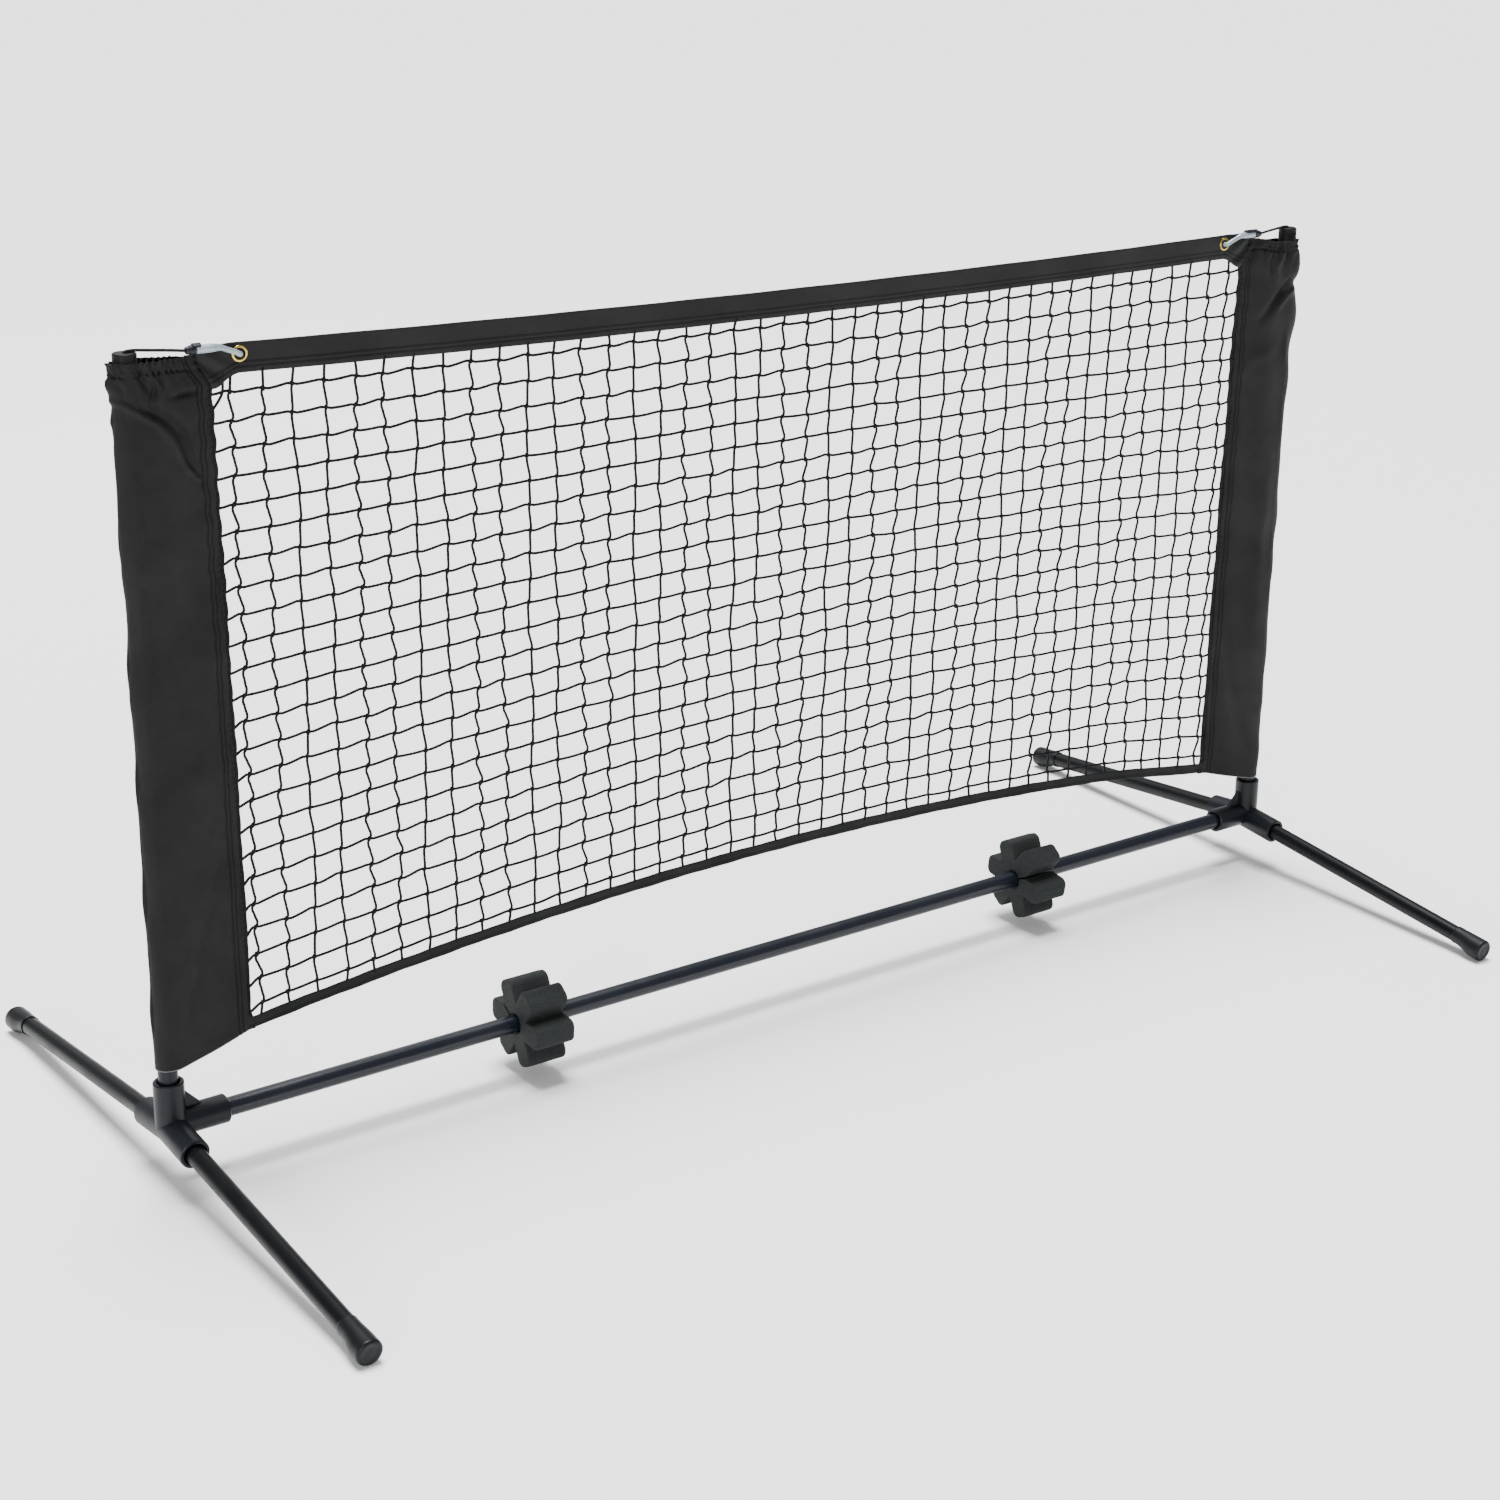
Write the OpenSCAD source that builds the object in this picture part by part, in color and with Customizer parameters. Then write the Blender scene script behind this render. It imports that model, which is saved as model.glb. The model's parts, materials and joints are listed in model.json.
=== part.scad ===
// Free-standing practice net: two posts and a base bar in corner tees, four splayed feet,
// and a net with a top tape, a bottom tape and two sleeve panels that slip over the posts.
// X runs along the net, -Y is the front, Z is up, and Z = 0 is the ground.

/* [Overall size] */
// Distance between the two post axes
span = 1524; // [1100:1:2400]
// Height of the top of the post caps
post_top = 850; // [600:1:1100]
// Distance from a post axis to the outer end of a foot
foot_reach = 420; // [260:1:600]

/* [Tubes] */
// Outside diameter of the posts, the base bar and the feet
tube_d = 20; // [16:0.5:25]
// Wall thickness of the tubes
tube_wall = 1; // [0.6:0.1:2]
// Radial clearance of every push fit between a tube and its socket or cap
fit_gap = 0.05; // [0.02:0.01:0.1]
// Length of the spigot that joins the two halves of the base bar
spigot_l = 90; // [50:1:140]

/* [Corner tees] */
// Height of the base bar's axis above the ground
bar_z = 62.5; // [55:0.5:90]
// Wall thickness of the tee's sleeves
tee_wall = 5.4; // [4:0.1:8]
// Depth of the socket that takes a post
post_socket = 34; // [20:1:60]
// Distance from the post axis to the end of the bar sleeve
bar_sleeve = 59; // [45:1:90]
// Distance from the post axis to the end of each foot sleeve
foot_sleeve = 57; // [45:1:90]
// Distance from the post axis to the inner ends of the bar and the feet
core = 17; // [14:0.5:24]
// How far the crest of the foot axes lies below the bar's axis
foot_drop = 4.5; // [0:0.5:10]
// Width and height of the gusset rib between the post sleeve and the bar sleeve
rib = 18; // [8:1:28]
// Thickness of the gusset rib
rib_t = 5; // [3:0.5:8]

/* [Foot caps] */
// Length of the rubber cap
cap_l = 46; // [30:1:70]
// Wall of the cap where it grips the tube
cap_wall = 1.3; // [1:0.1:4]
// Radius of the flared outer end
cap_end_r = 13.5; // [12.5:0.1:20]
// How far the flared end is set below the tube's axis
cap_end_drop = 2.5; // [0:0.1:6]
// How much the edge of the cap's end is rounded
cap_round = 2.6; // [1:0.1:5]
// Thickness of rubber past the end of the tube
cap_floor = 5; // [2:0.5:12]
// Length and width of the flat sole
sole_l = 24; // [10:1:28]
sole_w = 15; // [8:1:20]

/* [Foam wheels] */
// Outside radius of a wheel
wheel_r = 49.5; // [40:0.5:60]
// Width of a wheel along the bar
wheel_w = 47; // [30:1:90]
// Number of lobes
wheel_lobes = 6; // [5:1:6]
// Width of a lobe
lobe_w = 25.5; // [18:0.5:27]
// Corner radius of a lobe
lobe_r = 8; // [3:0.5:9]
// Radius of the solid hub
hub_r = 27; // [24:0.5:30]
// Radius of the round relief at the root of each notch, and its distance from the centre
notch_r = 3.2; // [1:0.1:4]
notch_at = 29; // [27:0.5:33]
// Width of the slit that lets the foam snap over the bar
slit_w = 2.5; // [1:0.5:6]
// Flare of the bore's mouths: radius added and depth
mouth_flare = 2.7; // [0.5:0.1:6]
// Places of the wheels along the bar, from the middle of the net
wheel_left_x = -342; // [-500:1:-200]
wheel_right_x = 374; // [200:1:500]

/* [Post caps] */
// Height of a post cap and thickness of its wall and top
pcap_h = 24; // [14:1:40]
pcap_wall = 1.2; // [1:0.1:4]
pcap_top = 4; // [2:0.5:8]
// Bevel of the cap's upper edge
pcap_edge = 1; // [0.4:0.1:1.6]

/* [Net] */
// Distance from the post axis to the inner edge of a side panel's binding
panel_in = 86; // [60:1:140]
// Width of the binding along that edge
binding_w = 8; // [4:1:16]
// Slack of the sleeve and its hem elastic round the post cap
sleeve_gap = 0.4; // [0.2:0.1:4]
// Thickness of the sleeve's cloth
cloth_t = 0.9; // [0.5:0.1:1.5]
// Thickness of the sewn inner edge of a panel
edge_t = 3.4; // [3:0.1:6]
// Distance from the top of the post caps down to the top of the panels
panel_down = 8; // [4:1:16]
// Gap between the tee's rim and the lowest edge of a panel
panel_gap = 12; // [2:1:40]
// How much higher a panel's bottom edge is at its inner corner
panel_rise = 20; // [0:1:60]
// Height and thickness of the top tape
tape_h = 27; // [18:1:50]
tape_t = 3; // [2:0.1:5]
// How far the top tape ends lie below the post caps, and its sag in the middle
tape_down = 2; // [0:0.5:10]
tape_sag = 8; // [0:0.5:20]
// Height and thickness of the bottom tape
hem_h = 10.5; // [6:0.5:25]
hem_t = 2.4; // [1.5:0.1:4]
// Height of the arch that the bottom tape makes
hem_rise = 45; // [0:1:80]
// Thickness of the sheet that stands for the knotted mesh
mesh_t = 1; // [0.6:0.1:3]
// Height and thickness of the elastic in the panel's top hem
elastic_h = 6; // [3:1:12]
elastic_t = 0.8; // [0.4:0.1:1.5]

/* [Hooks and grommets] */
// Distance from the net's end to the grommet's centre
grommet_in = 26; // [18:1:60]
// Distance of the grommet's centre below the tape's top edge
grommet_down = 9.6; // [9.2:0.1:14]
// Outside radius and hole radius of a grommet
grommet_r = 8.8; // [7:0.1:9]
grommet_hole = 5; // [4.6:0.1:6]
// Thickness of the grommet's metal
grommet_t = 0.8; // [0.5:0.1:1]
// Diameter of the elastic tension cord
cord_d = 3; // [2:0.1:4]
// Diameter and length of the clip that grips the cord's end
clip_d = 9.2; // [7:0.1:10]
clip_l = 10; // [6:0.5:14]
// Diameter and length of the hook's barrel
barrel_d = 8.5; // [7:0.1:10]
barrel_l = 24; // [16:1:30]
// Distance from the start of the barrel to the grommet's centre
hook_l = 46; // [38:1:48]
// Height of the barrel above the grommet's centre
hook_rise = 9.5; // [8:0.1:14]
// Diameter of the hook's bent tip, and how far it stands out behind the tape
tip_d = 5.4; // [4:0.1:6]
tip_reach = 5; // [3:0.5:8]

/* [Hidden] */
$fn = 64;
eps = 0.01;

// Derived heights, from the ground up
tube_r = tube_d / 2;
socket_r = tube_r + fit_gap;
tee_r = socket_r + tee_wall;
foot_z = bar_z - foot_drop;
post_floor = foot_z + tee_r + 2.5;
rim_z = post_floor + post_socket;
mouth_d = 3;

// Slope of the feet: each axis falls from the crest in the tee to its cap on the ground
end_z = cap_end_r + cap_end_drop + 0.3;
foot_angle = atan((foot_z - end_z) / foot_reach);
foot_axis_l = foot_reach / cos(foot_angle);
foot_tube_l = foot_axis_l - cap_floor - core;

// Net outline
net_x = span / 2 - panel_in;
tape_end_z = post_top - tape_down;
panel_top = post_top - panel_down;
panel_bottom = rim_z + panel_gap;
panel_corner = panel_bottom + panel_rise;
hem_end_z = panel_corner + 1;
arc_steps = 28;
function bow(x) = 1 - pow(x / net_x, 2);
function tape_top(x) = tape_end_z - tape_sag * bow(x);
function tape_low(x) = tape_top(x) - tape_h;
function hem_low(x) = hem_end_z + hem_rise * bow(x);
function hem_top(x) = hem_low(x) + hem_h;
function net_xs() = [for (i = [0 : arc_steps]) -net_x + 2 * net_x * i / arc_steps];
function reversed(list) = [for (i = [len(list) - 1 : -1 : 0]) list[i]];

// Outside radius of the sleeve: it slips over the post cap with the elastic inside it
sleeve_r = socket_r + pcap_wall + elastic_t + sleeve_gap + cloth_t;
elastic_gap = 0.1;

// Grommet and hook, as distances from the post axis: the hook's tip runs through the grommet
grommet_x = net_x - grommet_in;
grommet_from_post = span / 2 - grommet_x;
grommet_z = tape_top(grommet_x) - grommet_down;
barrel_in = grommet_from_post - hook_l;
hook_gap = 0.5;
hook_y = -(tape_t / 2 + grommet_t + hook_gap + barrel_d / 2);
hook_z = grommet_z + hook_rise;
neck_l = 3;
cord_z = post_top + cord_d / 2 + 1.2;
cord_bend_r = cord_d / 2 + 0.1;

// Mirrors left-hand parts to the right-hand post
module on_left() translate([-span / 2, 0, 0]) children();
module on_right() mirror([1, 0, 0]) on_left() children();

// A bored or plain round bar along X
module rod_x(r, x0, x1) translate([x0, 0, 0]) rotate([0, 90, 0]) cylinder(r = r, h = x1 - x0);
module tube_x(x0, x1) difference() {
    rod_x(tube_r, x0, x1);
    rod_x(tube_r - tube_wall, x0 - 1, x1 + 1);
}

// Frame of one foot: +Z runs down along the foot's sloping axis towards the front
module foot_frame() translate([0, 0, foot_z]) rotate([90 + foot_angle, 0, 0]) children();
module rear() mirror([0, 1, 0]) children();

// Sleeve with a softened rim, standing on Z = 0
module sleeve(r, h) {
    cylinder(r = r, h = h - 1);
    translate([0, 0, h - 1]) cylinder(r1 = r, r2 = r - 1, h = 1);
}
// Socket with a flared mouth, from z0 up through z1
module socket(z0, z1) {
    translate([0, 0, z0]) cylinder(r = socket_r, h = z1 - z0 + 1);
    translate([0, 0, z1 - mouth_d]) cylinder(r1 = socket_r, r2 = socket_r + 2.2, h = mouth_d + eps);
    translate([0, 0, z1]) cylinder(r = socket_r + 2.2, h = 1);
}

module corner_tee() color([0.13, 0.15, 0.18]) difference() {
    union() {
        translate([0, 0, foot_z]) sleeve(tee_r, rim_z - foot_z);
        translate([0, 0, bar_z]) rotate([0, 90, 0]) sleeve(tee_r - 0.4, bar_sleeve);
        foot_frame() sleeve(tee_r, foot_sleeve / cos(foot_angle));
        rear() foot_frame() sleeve(tee_r, foot_sleeve / cos(foot_angle));
        translate([0, 0, foot_z]) sphere(r = tee_r);
        translate([0, rib_t / 2, 0]) rotate([90, 0, 0]) linear_extrude(rib_t)
            polygon([[tee_r - 3, bar_z + tee_r + rib], [tee_r, bar_z + tee_r + rib],
                     [tee_r + rib, bar_z + tee_r - 1], [tee_r + rib, bar_z], [tee_r - 3, bar_z]]);
    }
    socket(post_floor, rim_z);
    translate([0, 0, bar_z]) rotate([0, 90, 0]) socket(core, bar_sleeve);
    foot_frame() socket(core, foot_sleeve / cos(foot_angle));
    rear() foot_frame() socket(core, foot_sleeve / cos(foot_angle));
}
module left_corner_tee() on_left() corner_tee();
module right_corner_tee() on_right() corner_tee();

// Each half of the bar runs from its tee to the middle of the net
module half_bar() color([0.14, 0.16, 0.2]) translate([0, 0, bar_z]) tube_x(core, span / 2);
module base_bar_left() on_left() half_bar();
module base_bar_right() on_right() half_bar();
module base_bar_spigot() color([0.3, 0.31, 0.33]) translate([0, 0, bar_z]) difference() {
    rod_x(tube_r - tube_wall - fit_gap, -spigot_l / 2, spigot_l / 2);
    rod_x(tube_r - 2 * tube_wall - fit_gap, -spigot_l, spigot_l);
}

module post() color([0.14, 0.16, 0.2]) translate([0, 0, post_floor]) difference() {
    cylinder(r = tube_r, h = post_top - pcap_top - post_floor);
    translate([0, 0, -1]) cylinder(r = tube_r - tube_wall, h = post_top);
}
module left_post() on_left() post();
module right_post() on_right() post();

// Push-on cap with a hole for the tension cord in the middle of its rounded top
module post_cap() color([0.05, 0.05, 0.06]) translate([0, 0, post_top - pcap_h]) difference() {
    union() {
        cylinder(r = socket_r + pcap_wall, h = pcap_h - pcap_edge);
        translate([0, 0, pcap_h - pcap_edge])
            cylinder(r1 = socket_r + pcap_wall, r2 = socket_r + pcap_wall - pcap_edge, h = pcap_edge);
    }
    translate([0, 0, -1]) cylinder(r = socket_r, h = pcap_h - pcap_top + 1);
    cylinder(r = cord_d / 2 + 0.3, h = pcap_h + 1);
}
module left_post_cap() on_left() post_cap();
module right_post_cap() on_right() post_cap();

module foot_tube() color([0.09, 0.1, 0.12]) foot_frame() translate([0, 0, core]) difference() {
    cylinder(r = tube_r, h = foot_tube_l);
    translate([0, 0, -1]) cylinder(r = tube_r - tube_wall, h = foot_tube_l + 2);
}
module front_left_foot_tube() on_left() foot_tube();
module rear_left_foot_tube() on_left() rear() foot_tube();
module front_right_foot_tube() on_right() foot_tube();
module rear_right_foot_tube() on_right() rear() foot_tube();

// Rubber end cap: round where it grips the tube, flared down to a flat sole on the ground
module foot_cap() color([0.06, 0.06, 0.07]) difference() {
    hull() {
        foot_frame() translate([0, 0, foot_axis_l - cap_l])
            cylinder(r = socket_r + cap_wall, h = cap_l * 0.3, $fn = 32);
        foot_frame() translate([0, -cap_end_drop, foot_axis_l - 2 * cap_round])
            cylinder(r = cap_end_r, h = cap_round, $fn = 32);
        foot_frame() translate([0, -cap_end_drop, foot_axis_l - 1])
            cylinder(r = cap_end_r - cap_round, h = 1, $fn = 32);
        translate([-sole_w / 2, -foot_reach + 1.5, 0]) cube([sole_w, sole_l, 1]);
    }
    foot_frame() translate([0, 0, foot_axis_l - cap_l - 1])
        cylinder(r = socket_r, h = cap_l + 1 - cap_floor);
}
module front_left_foot_cap() on_left() foot_cap();
module rear_left_foot_cap() on_left() rear() foot_cap();
module front_right_foot_cap() on_right() foot_cap();
module rear_right_foot_cap() on_right() rear() foot_cap();

// One lobe of the foam wheel: a parallel-sided tongue with round outer corners
module lobe() {
    translate([0, -lobe_w / 2]) square([wheel_r - lobe_r, lobe_w]);
    translate([0, lobe_r - lobe_w / 2]) square([wheel_r, lobe_w - 2 * lobe_r]);
    for (side = [-1, 1]) translate([wheel_r - lobe_r, side * (lobe_w / 2 - lobe_r)]) circle(r = lobe_r);
}
module bore_mouth() translate([wheel_w / 2 - mouth_flare, 0, 0]) rotate([0, 90, 0])
    cylinder(r1 = socket_r, r2 = socket_r + mouth_flare, h = mouth_flare + eps);
// Wheel on the bar, centred on X = x and turned so that one lobe points to angle turn
module foam_wheel(x, turn) color([0.2, 0.21, 0.21]) translate([x, 0, bar_z]) rotate([turn, 0, 0])
    difference() {
        translate([-wheel_w / 2, 0, 0]) rotate([90, 0, 90]) linear_extrude(wheel_w) difference() {
            union() {
                circle(r = hub_r);
                for (i = [0 : wheel_lobes - 1]) rotate(360 / wheel_lobes * i) lobe();
            }
            for (i = [0 : wheel_lobes - 1]) rotate(360 / wheel_lobes * (i + 0.5))
                translate([notch_at, 0]) circle(r = notch_r);
        }
        rod_x(socket_r, -wheel_w, wheel_w);
        bore_mouth();
        mirror([1, 0, 0]) bore_mouth();
        rotate([180 / wheel_lobes, 0, 0]) translate([-wheel_w, 0, -slit_w / 2])
            cube([2 * wheel_w, wheel_r, slit_w]);
    }
module left_foam_wheel() foam_wheel(wheel_left_x, 4);
module right_foam_wheel() foam_wheel(wheel_right_x, 128);

// Outline of the sleeve from above: an arc round the post, drawn in by two tangents to the
// sewn inner edge at [l, +-h]
sleeve_steps = 28;
function touch_angle(r, l, h) = atan(h / l) + acos(r / sqrt(l * l + h * h));
function sleeve_arc(r, t) = [for (i = [0 : sleeve_steps])
    let (a = t + (360 - 2 * t) * i / sleeve_steps) [r * cos(a), r * sin(a)]];
module sleeve_outline(r, l, h)
    polygon(concat([[l, -h], [l, h]], sleeve_arc(r, touch_angle(r, l, h))));
module side_panel() color([0.1, 0.1, 0.11]) intersection() {
    translate([0, 0, panel_bottom]) linear_extrude(panel_top - panel_bottom) difference() {
        sleeve_outline(sleeve_r, panel_in - binding_w, edge_t / 2);
        sleeve_outline(sleeve_r - cloth_t, panel_in - binding_w - 2 * cloth_t, edge_t / 2 - cloth_t);
    }
    translate([0, 50, 0]) rotate([90, 0, 0]) linear_extrude(100)
        polygon([[-50, panel_bottom], [tube_r, panel_bottom], [panel_in, panel_corner],
                 [panel_in, panel_top], [-50, panel_top]]);
}
module left_side_panel() on_left() side_panel();
module right_side_panel() on_right() side_panel();

// Folded tape sewn over the panel's inner edge and the edge of the mesh
module panel_binding() color([0.08, 0.08, 0.09])
    translate([panel_in - binding_w, -edge_t / 2, panel_corner - 2])
        cube([binding_w, edge_t, panel_top - panel_corner + 2]);
module left_panel_binding() on_left() panel_binding();
module right_panel_binding() on_right() panel_binding();

// Elastic loop inside the sleeve's top hem
module hem_elastic() color([0.2, 0.2, 0.2])
    translate([0, 0, panel_top - elastic_h - 3]) linear_extrude(elastic_h) difference() {
        sleeve_outline(sleeve_r - cloth_t - elastic_gap, panel_in - binding_w - 12, edge_t / 2 - 0.3);
        sleeve_outline(sleeve_r - cloth_t - elastic_gap - elastic_t,
                       panel_in - binding_w - 12 - 2 * elastic_t, edge_t / 2 - 0.3 - elastic_t);
    }
module left_hem_elastic() on_left() hem_elastic();
module right_hem_elastic() on_right() hem_elastic();

// Flat strip of the net between two curves, t thick and centred on Y = 0
module net_strip(low, high, t) translate([0, t / 2, 0]) rotate([90, 0, 0]) linear_extrude(t)
    polygon(concat(low, reversed(high)));
module grommet_hole(r) for (side = [-1, 1]) translate([side * grommet_x, 25, grommet_z])
    rotate([90, 0, 0]) cylinder(r = r, h = 50);

module top_tape() color([0.13, 0.13, 0.14]) difference() {
    net_strip([for (x = net_xs()) [x, tape_low(x)]], [for (x = net_xs()) [x, tape_top(x)]], tape_t);
    grommet_hole(grommet_hole + grommet_t + 0.05);
}
module net_mesh() color([0.06, 0.06, 0.06])
    net_strip([for (x = net_xs()) [x, hem_top(x)]], [for (x = net_xs()) [x, tape_low(x)]], mesh_t);
module bottom_tape() color([0.1, 0.11, 0.11])
    net_strip([for (x = net_xs()) [x, hem_low(x)]], [for (x = net_xs()) [x, hem_top(x)]], hem_t);

// Eyelet: a front flange and a barrel; the washer closes it at the back
module eyelet() color([0.78, 0.62, 0.25]) translate([grommet_from_post, 0, grommet_z])
    rotate([90, 0, 0]) rotate_extrude() {
        translate([grommet_hole, -tape_t / 2 - grommet_t - 0.4])
            square([grommet_t, tape_t + 2 * grommet_t + 0.4]);
        translate([grommet_hole, tape_t / 2]) square([grommet_r - grommet_hole - grommet_t / 2, grommet_t]);
        translate([grommet_r - grommet_t / 2, tape_t / 2 + grommet_t / 2]) circle(r = grommet_t / 2);
    }
module eyelet_washer() color([0.72, 0.57, 0.23]) translate([grommet_from_post, 0, grommet_z])
    rotate([90, 0, 0]) rotate_extrude()
        translate([grommet_hole + grommet_t + 0.05, -tape_t / 2 - grommet_t])
            square([grommet_r - grommet_hole - grommet_t, grommet_t]);
module left_eyelet() on_left() eyelet();
module right_eyelet() on_right() eyelet();
module left_eyelet_washer() on_left() eyelet_washer();
module right_eyelet_washer() on_right() eyelet_washer();

// Elastic cord: knotted under the cap, up through its hole, over and along to the clip
module tension_cord() color([0.05, 0.05, 0.05]) {
    clip_x = barrel_in - clip_l - cord_bend_r;
    flat_run = sqrt(clip_x * clip_x + hook_y * hook_y);
    fall = atan((cord_z - hook_z) / flat_run);
    translate([0, 0, post_top - pcap_top - cord_d - 1]) sphere(r = cord_d);
    translate([0, 0, post_top - pcap_top - cord_d])
        cylinder(r = cord_d / 2, h = cord_z - post_top + pcap_top + cord_d);
    translate([0, 0, cord_z]) sphere(r = cord_bend_r);
    translate([0, 0, cord_z]) rotate([0, 90 + fall, atan2(hook_y, clip_x)])
        cylinder(r = cord_d / 2, h = flat_run / cos(fall));
    translate([clip_x, hook_y, hook_z]) sphere(r = cord_bend_r);
}
module left_tension_cord() on_left() tension_cord();
module right_tension_cord() on_right() tension_cord();

// Clip pressed on the cord's end against the hook's barrel
module cord_clip() color([0.05, 0.06, 0.09]) translate([0, hook_y, hook_z])
    rod_x(clip_d / 2, barrel_in - clip_l, barrel_in);
module left_cord_clip() on_left() cord_clip();
module right_cord_clip() on_right() cord_clip();

// Hook: a barrel, a neck that falls in front of the tape and a tip bent back through the grommet
module hook() color([0.66, 0.7, 0.72]) translate([0, hook_y, 0]) {
    neck_x = barrel_in + barrel_l;
    fall = atan2(hook_rise, grommet_from_post - neck_x);
    translate([0, 0, hook_z]) rod_x(barrel_d / 2, barrel_in, neck_x);
    translate([neck_x, 0, hook_z]) rotate([0, 90, 0]) cylinder(r1 = barrel_d / 2, r2 = tip_d / 2, h = neck_l);
    translate([neck_x, 0, hook_z]) rotate([0, 90 + fall, 0])
        cylinder(r = tip_d / 2, h = (grommet_from_post - neck_x) / cos(fall));
    translate([grommet_from_post, 0, grommet_z]) sphere(r = tip_d / 2);
    translate([grommet_from_post, 0, grommet_z]) rotate([-90, 0, 0])
        cylinder(r = tip_d / 2, h = tip_reach - hook_y);
}
module left_hook() on_left() hook();
module right_hook() on_right() hook();

left_corner_tee();
right_corner_tee();
base_bar_left();
base_bar_right();
base_bar_spigot();
left_post();
right_post();
left_post_cap();
right_post_cap();
front_left_foot_tube();
rear_left_foot_tube();
front_right_foot_tube();
rear_right_foot_tube();
front_left_foot_cap();
rear_left_foot_cap();
front_right_foot_cap();
rear_right_foot_cap();
left_foam_wheel();
right_foam_wheel();
left_side_panel();
right_side_panel();
left_panel_binding();
right_panel_binding();
left_hem_elastic();
right_hem_elastic();
top_tape();
net_mesh();
bottom_tape();
left_eyelet();
right_eyelet();
left_eyelet_washer();
right_eyelet_washer();
left_tension_cord();
right_tension_cord();
left_cord_clip();
right_cord_clip();
left_hook();
right_hook();
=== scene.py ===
import json
import math

import bpy
import numpy as np
from mathutils import Euler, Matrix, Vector


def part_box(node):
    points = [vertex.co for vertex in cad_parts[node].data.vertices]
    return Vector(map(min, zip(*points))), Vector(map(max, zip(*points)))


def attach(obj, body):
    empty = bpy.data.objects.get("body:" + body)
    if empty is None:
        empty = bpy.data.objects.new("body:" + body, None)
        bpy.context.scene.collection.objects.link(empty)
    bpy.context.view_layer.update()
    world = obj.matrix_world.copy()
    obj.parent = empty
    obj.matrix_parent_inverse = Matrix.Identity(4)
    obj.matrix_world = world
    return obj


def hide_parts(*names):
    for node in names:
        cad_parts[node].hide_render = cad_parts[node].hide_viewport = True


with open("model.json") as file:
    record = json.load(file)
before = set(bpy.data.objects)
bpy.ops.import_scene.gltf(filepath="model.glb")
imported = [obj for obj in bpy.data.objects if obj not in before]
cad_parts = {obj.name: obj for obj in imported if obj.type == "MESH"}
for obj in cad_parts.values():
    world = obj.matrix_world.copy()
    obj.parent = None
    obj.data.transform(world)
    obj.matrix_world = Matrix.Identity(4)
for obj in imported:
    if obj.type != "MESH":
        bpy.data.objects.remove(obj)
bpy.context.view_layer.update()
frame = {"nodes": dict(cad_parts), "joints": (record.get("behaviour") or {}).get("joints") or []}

# ----------------------------------------
# Camera, floor and light: a low three-quarter view from the front left, over a plain pale floor,
# under a wide sun overhead, with a large lamp at the front left and a weak one behind.
# ----------------------------------------
camera_data = bpy.data.cameras.new("camera")
camera_data.lens = 65.09
camera_data.sensor_width = 36.0
camera_data.shift_x = -0.1237
camera_data.shift_y = -0.0647
camera_data.clip_end = 60.0
camera = bpy.data.objects.new("camera", camera_data)
bpy.context.scene.collection.objects.link(camera)
camera.location = (-1.7327, -2.3604, 1.3832)
CAMERA_TURN, CAMERA_TILT, CAMERA_ROLL = -39.50, 18.06, 1.98
look = Euler((math.radians(90 - CAMERA_TILT), 0, math.radians(CAMERA_TURN))).to_matrix()
camera.rotation_euler = (look @ Euler((0, 0, math.radians(CAMERA_ROLL))).to_matrix()).to_euler()
bpy.context.scene.camera = camera


def link_mesh(name, points, faces, smooth=True):
    """A mesh object from a list of points and a list of faces, shaded smooth or flat."""
    mesh = bpy.data.meshes.new(name)
    mesh.from_pydata(np.asarray(points, float).tolist(), [], [list(map(int, f)) for f in faces])
    mesh.polygons.foreach_set("use_smooth", [smooth] * len(mesh.polygons))
    mesh.update()
    piece = bpy.data.objects.new(name, mesh)
    bpy.context.scene.collection.objects.link(piece)
    return piece


def shader(name, **values):
    """A new material, its node tree and its Principled BSDF with the given socket values."""
    material = bpy.data.materials.new(name)
    material.use_nodes = True
    bsdf = material.node_tree.nodes["Principled BSDF"]
    for socket, value in values.items():
        bsdf.inputs[socket.replace("_", " ")].default_value = value
    return material, material.node_tree, bsdf


FLOOR_HALF = 14
corners = [(x * FLOOR_HALF, y * FLOOR_HALF, 0) for x, y in ((-1, -1), (1, -1), (1, 1), (-1, 1))]
floor = link_mesh("floor", corners, [(0, 1, 2, 3)], False)
floor_material, _, _ = shader("pale_floor", Base_Color=(0.92, 0.92, 0.92, 1), Roughness=0.9,
                              Specular_IOR_Level=0.1)
floor.data.materials.append(floor_material)

world = bpy.data.worlds.new("studio")
bpy.context.scene.world = world
world.use_nodes = True
world.node_tree.nodes["Background"].inputs["Color"].default_value = (1, 1, 1, 1)
world.node_tree.nodes["Background"].inputs["Strength"].default_value = 0.5


def soft_lamp(name, kind, place, target, size, strength):
    """An area lamp size metres square, or a sun size radians wide, turned towards its target."""
    data = bpy.data.lights.new(name, kind)
    data.energy = strength
    setattr(data, "angle" if kind == "SUN" else "size", size)
    lamp = bpy.data.objects.new(name, data)
    bpy.context.scene.collection.objects.link(lamp)
    lamp.location = place
    lamp.rotation_euler = (Vector(target) - Vector(place)).to_track_quat("-Z", "Y").to_euler()


soft_lamp("ceiling_light", "SUN", (0.2, 0.5, 4.0), (0, 0, 0), 0.5, 7.5)
soft_lamp("key_lamp", "AREA", (-4.6, -3.7, 1.5), (-0.1, 0, 0.45), 1.6, 170)
soft_lamp("back_lamp", "AREA", (0.4, 3.0, 2.6), (0, 0, 0.4), 2.5, 30)


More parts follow.
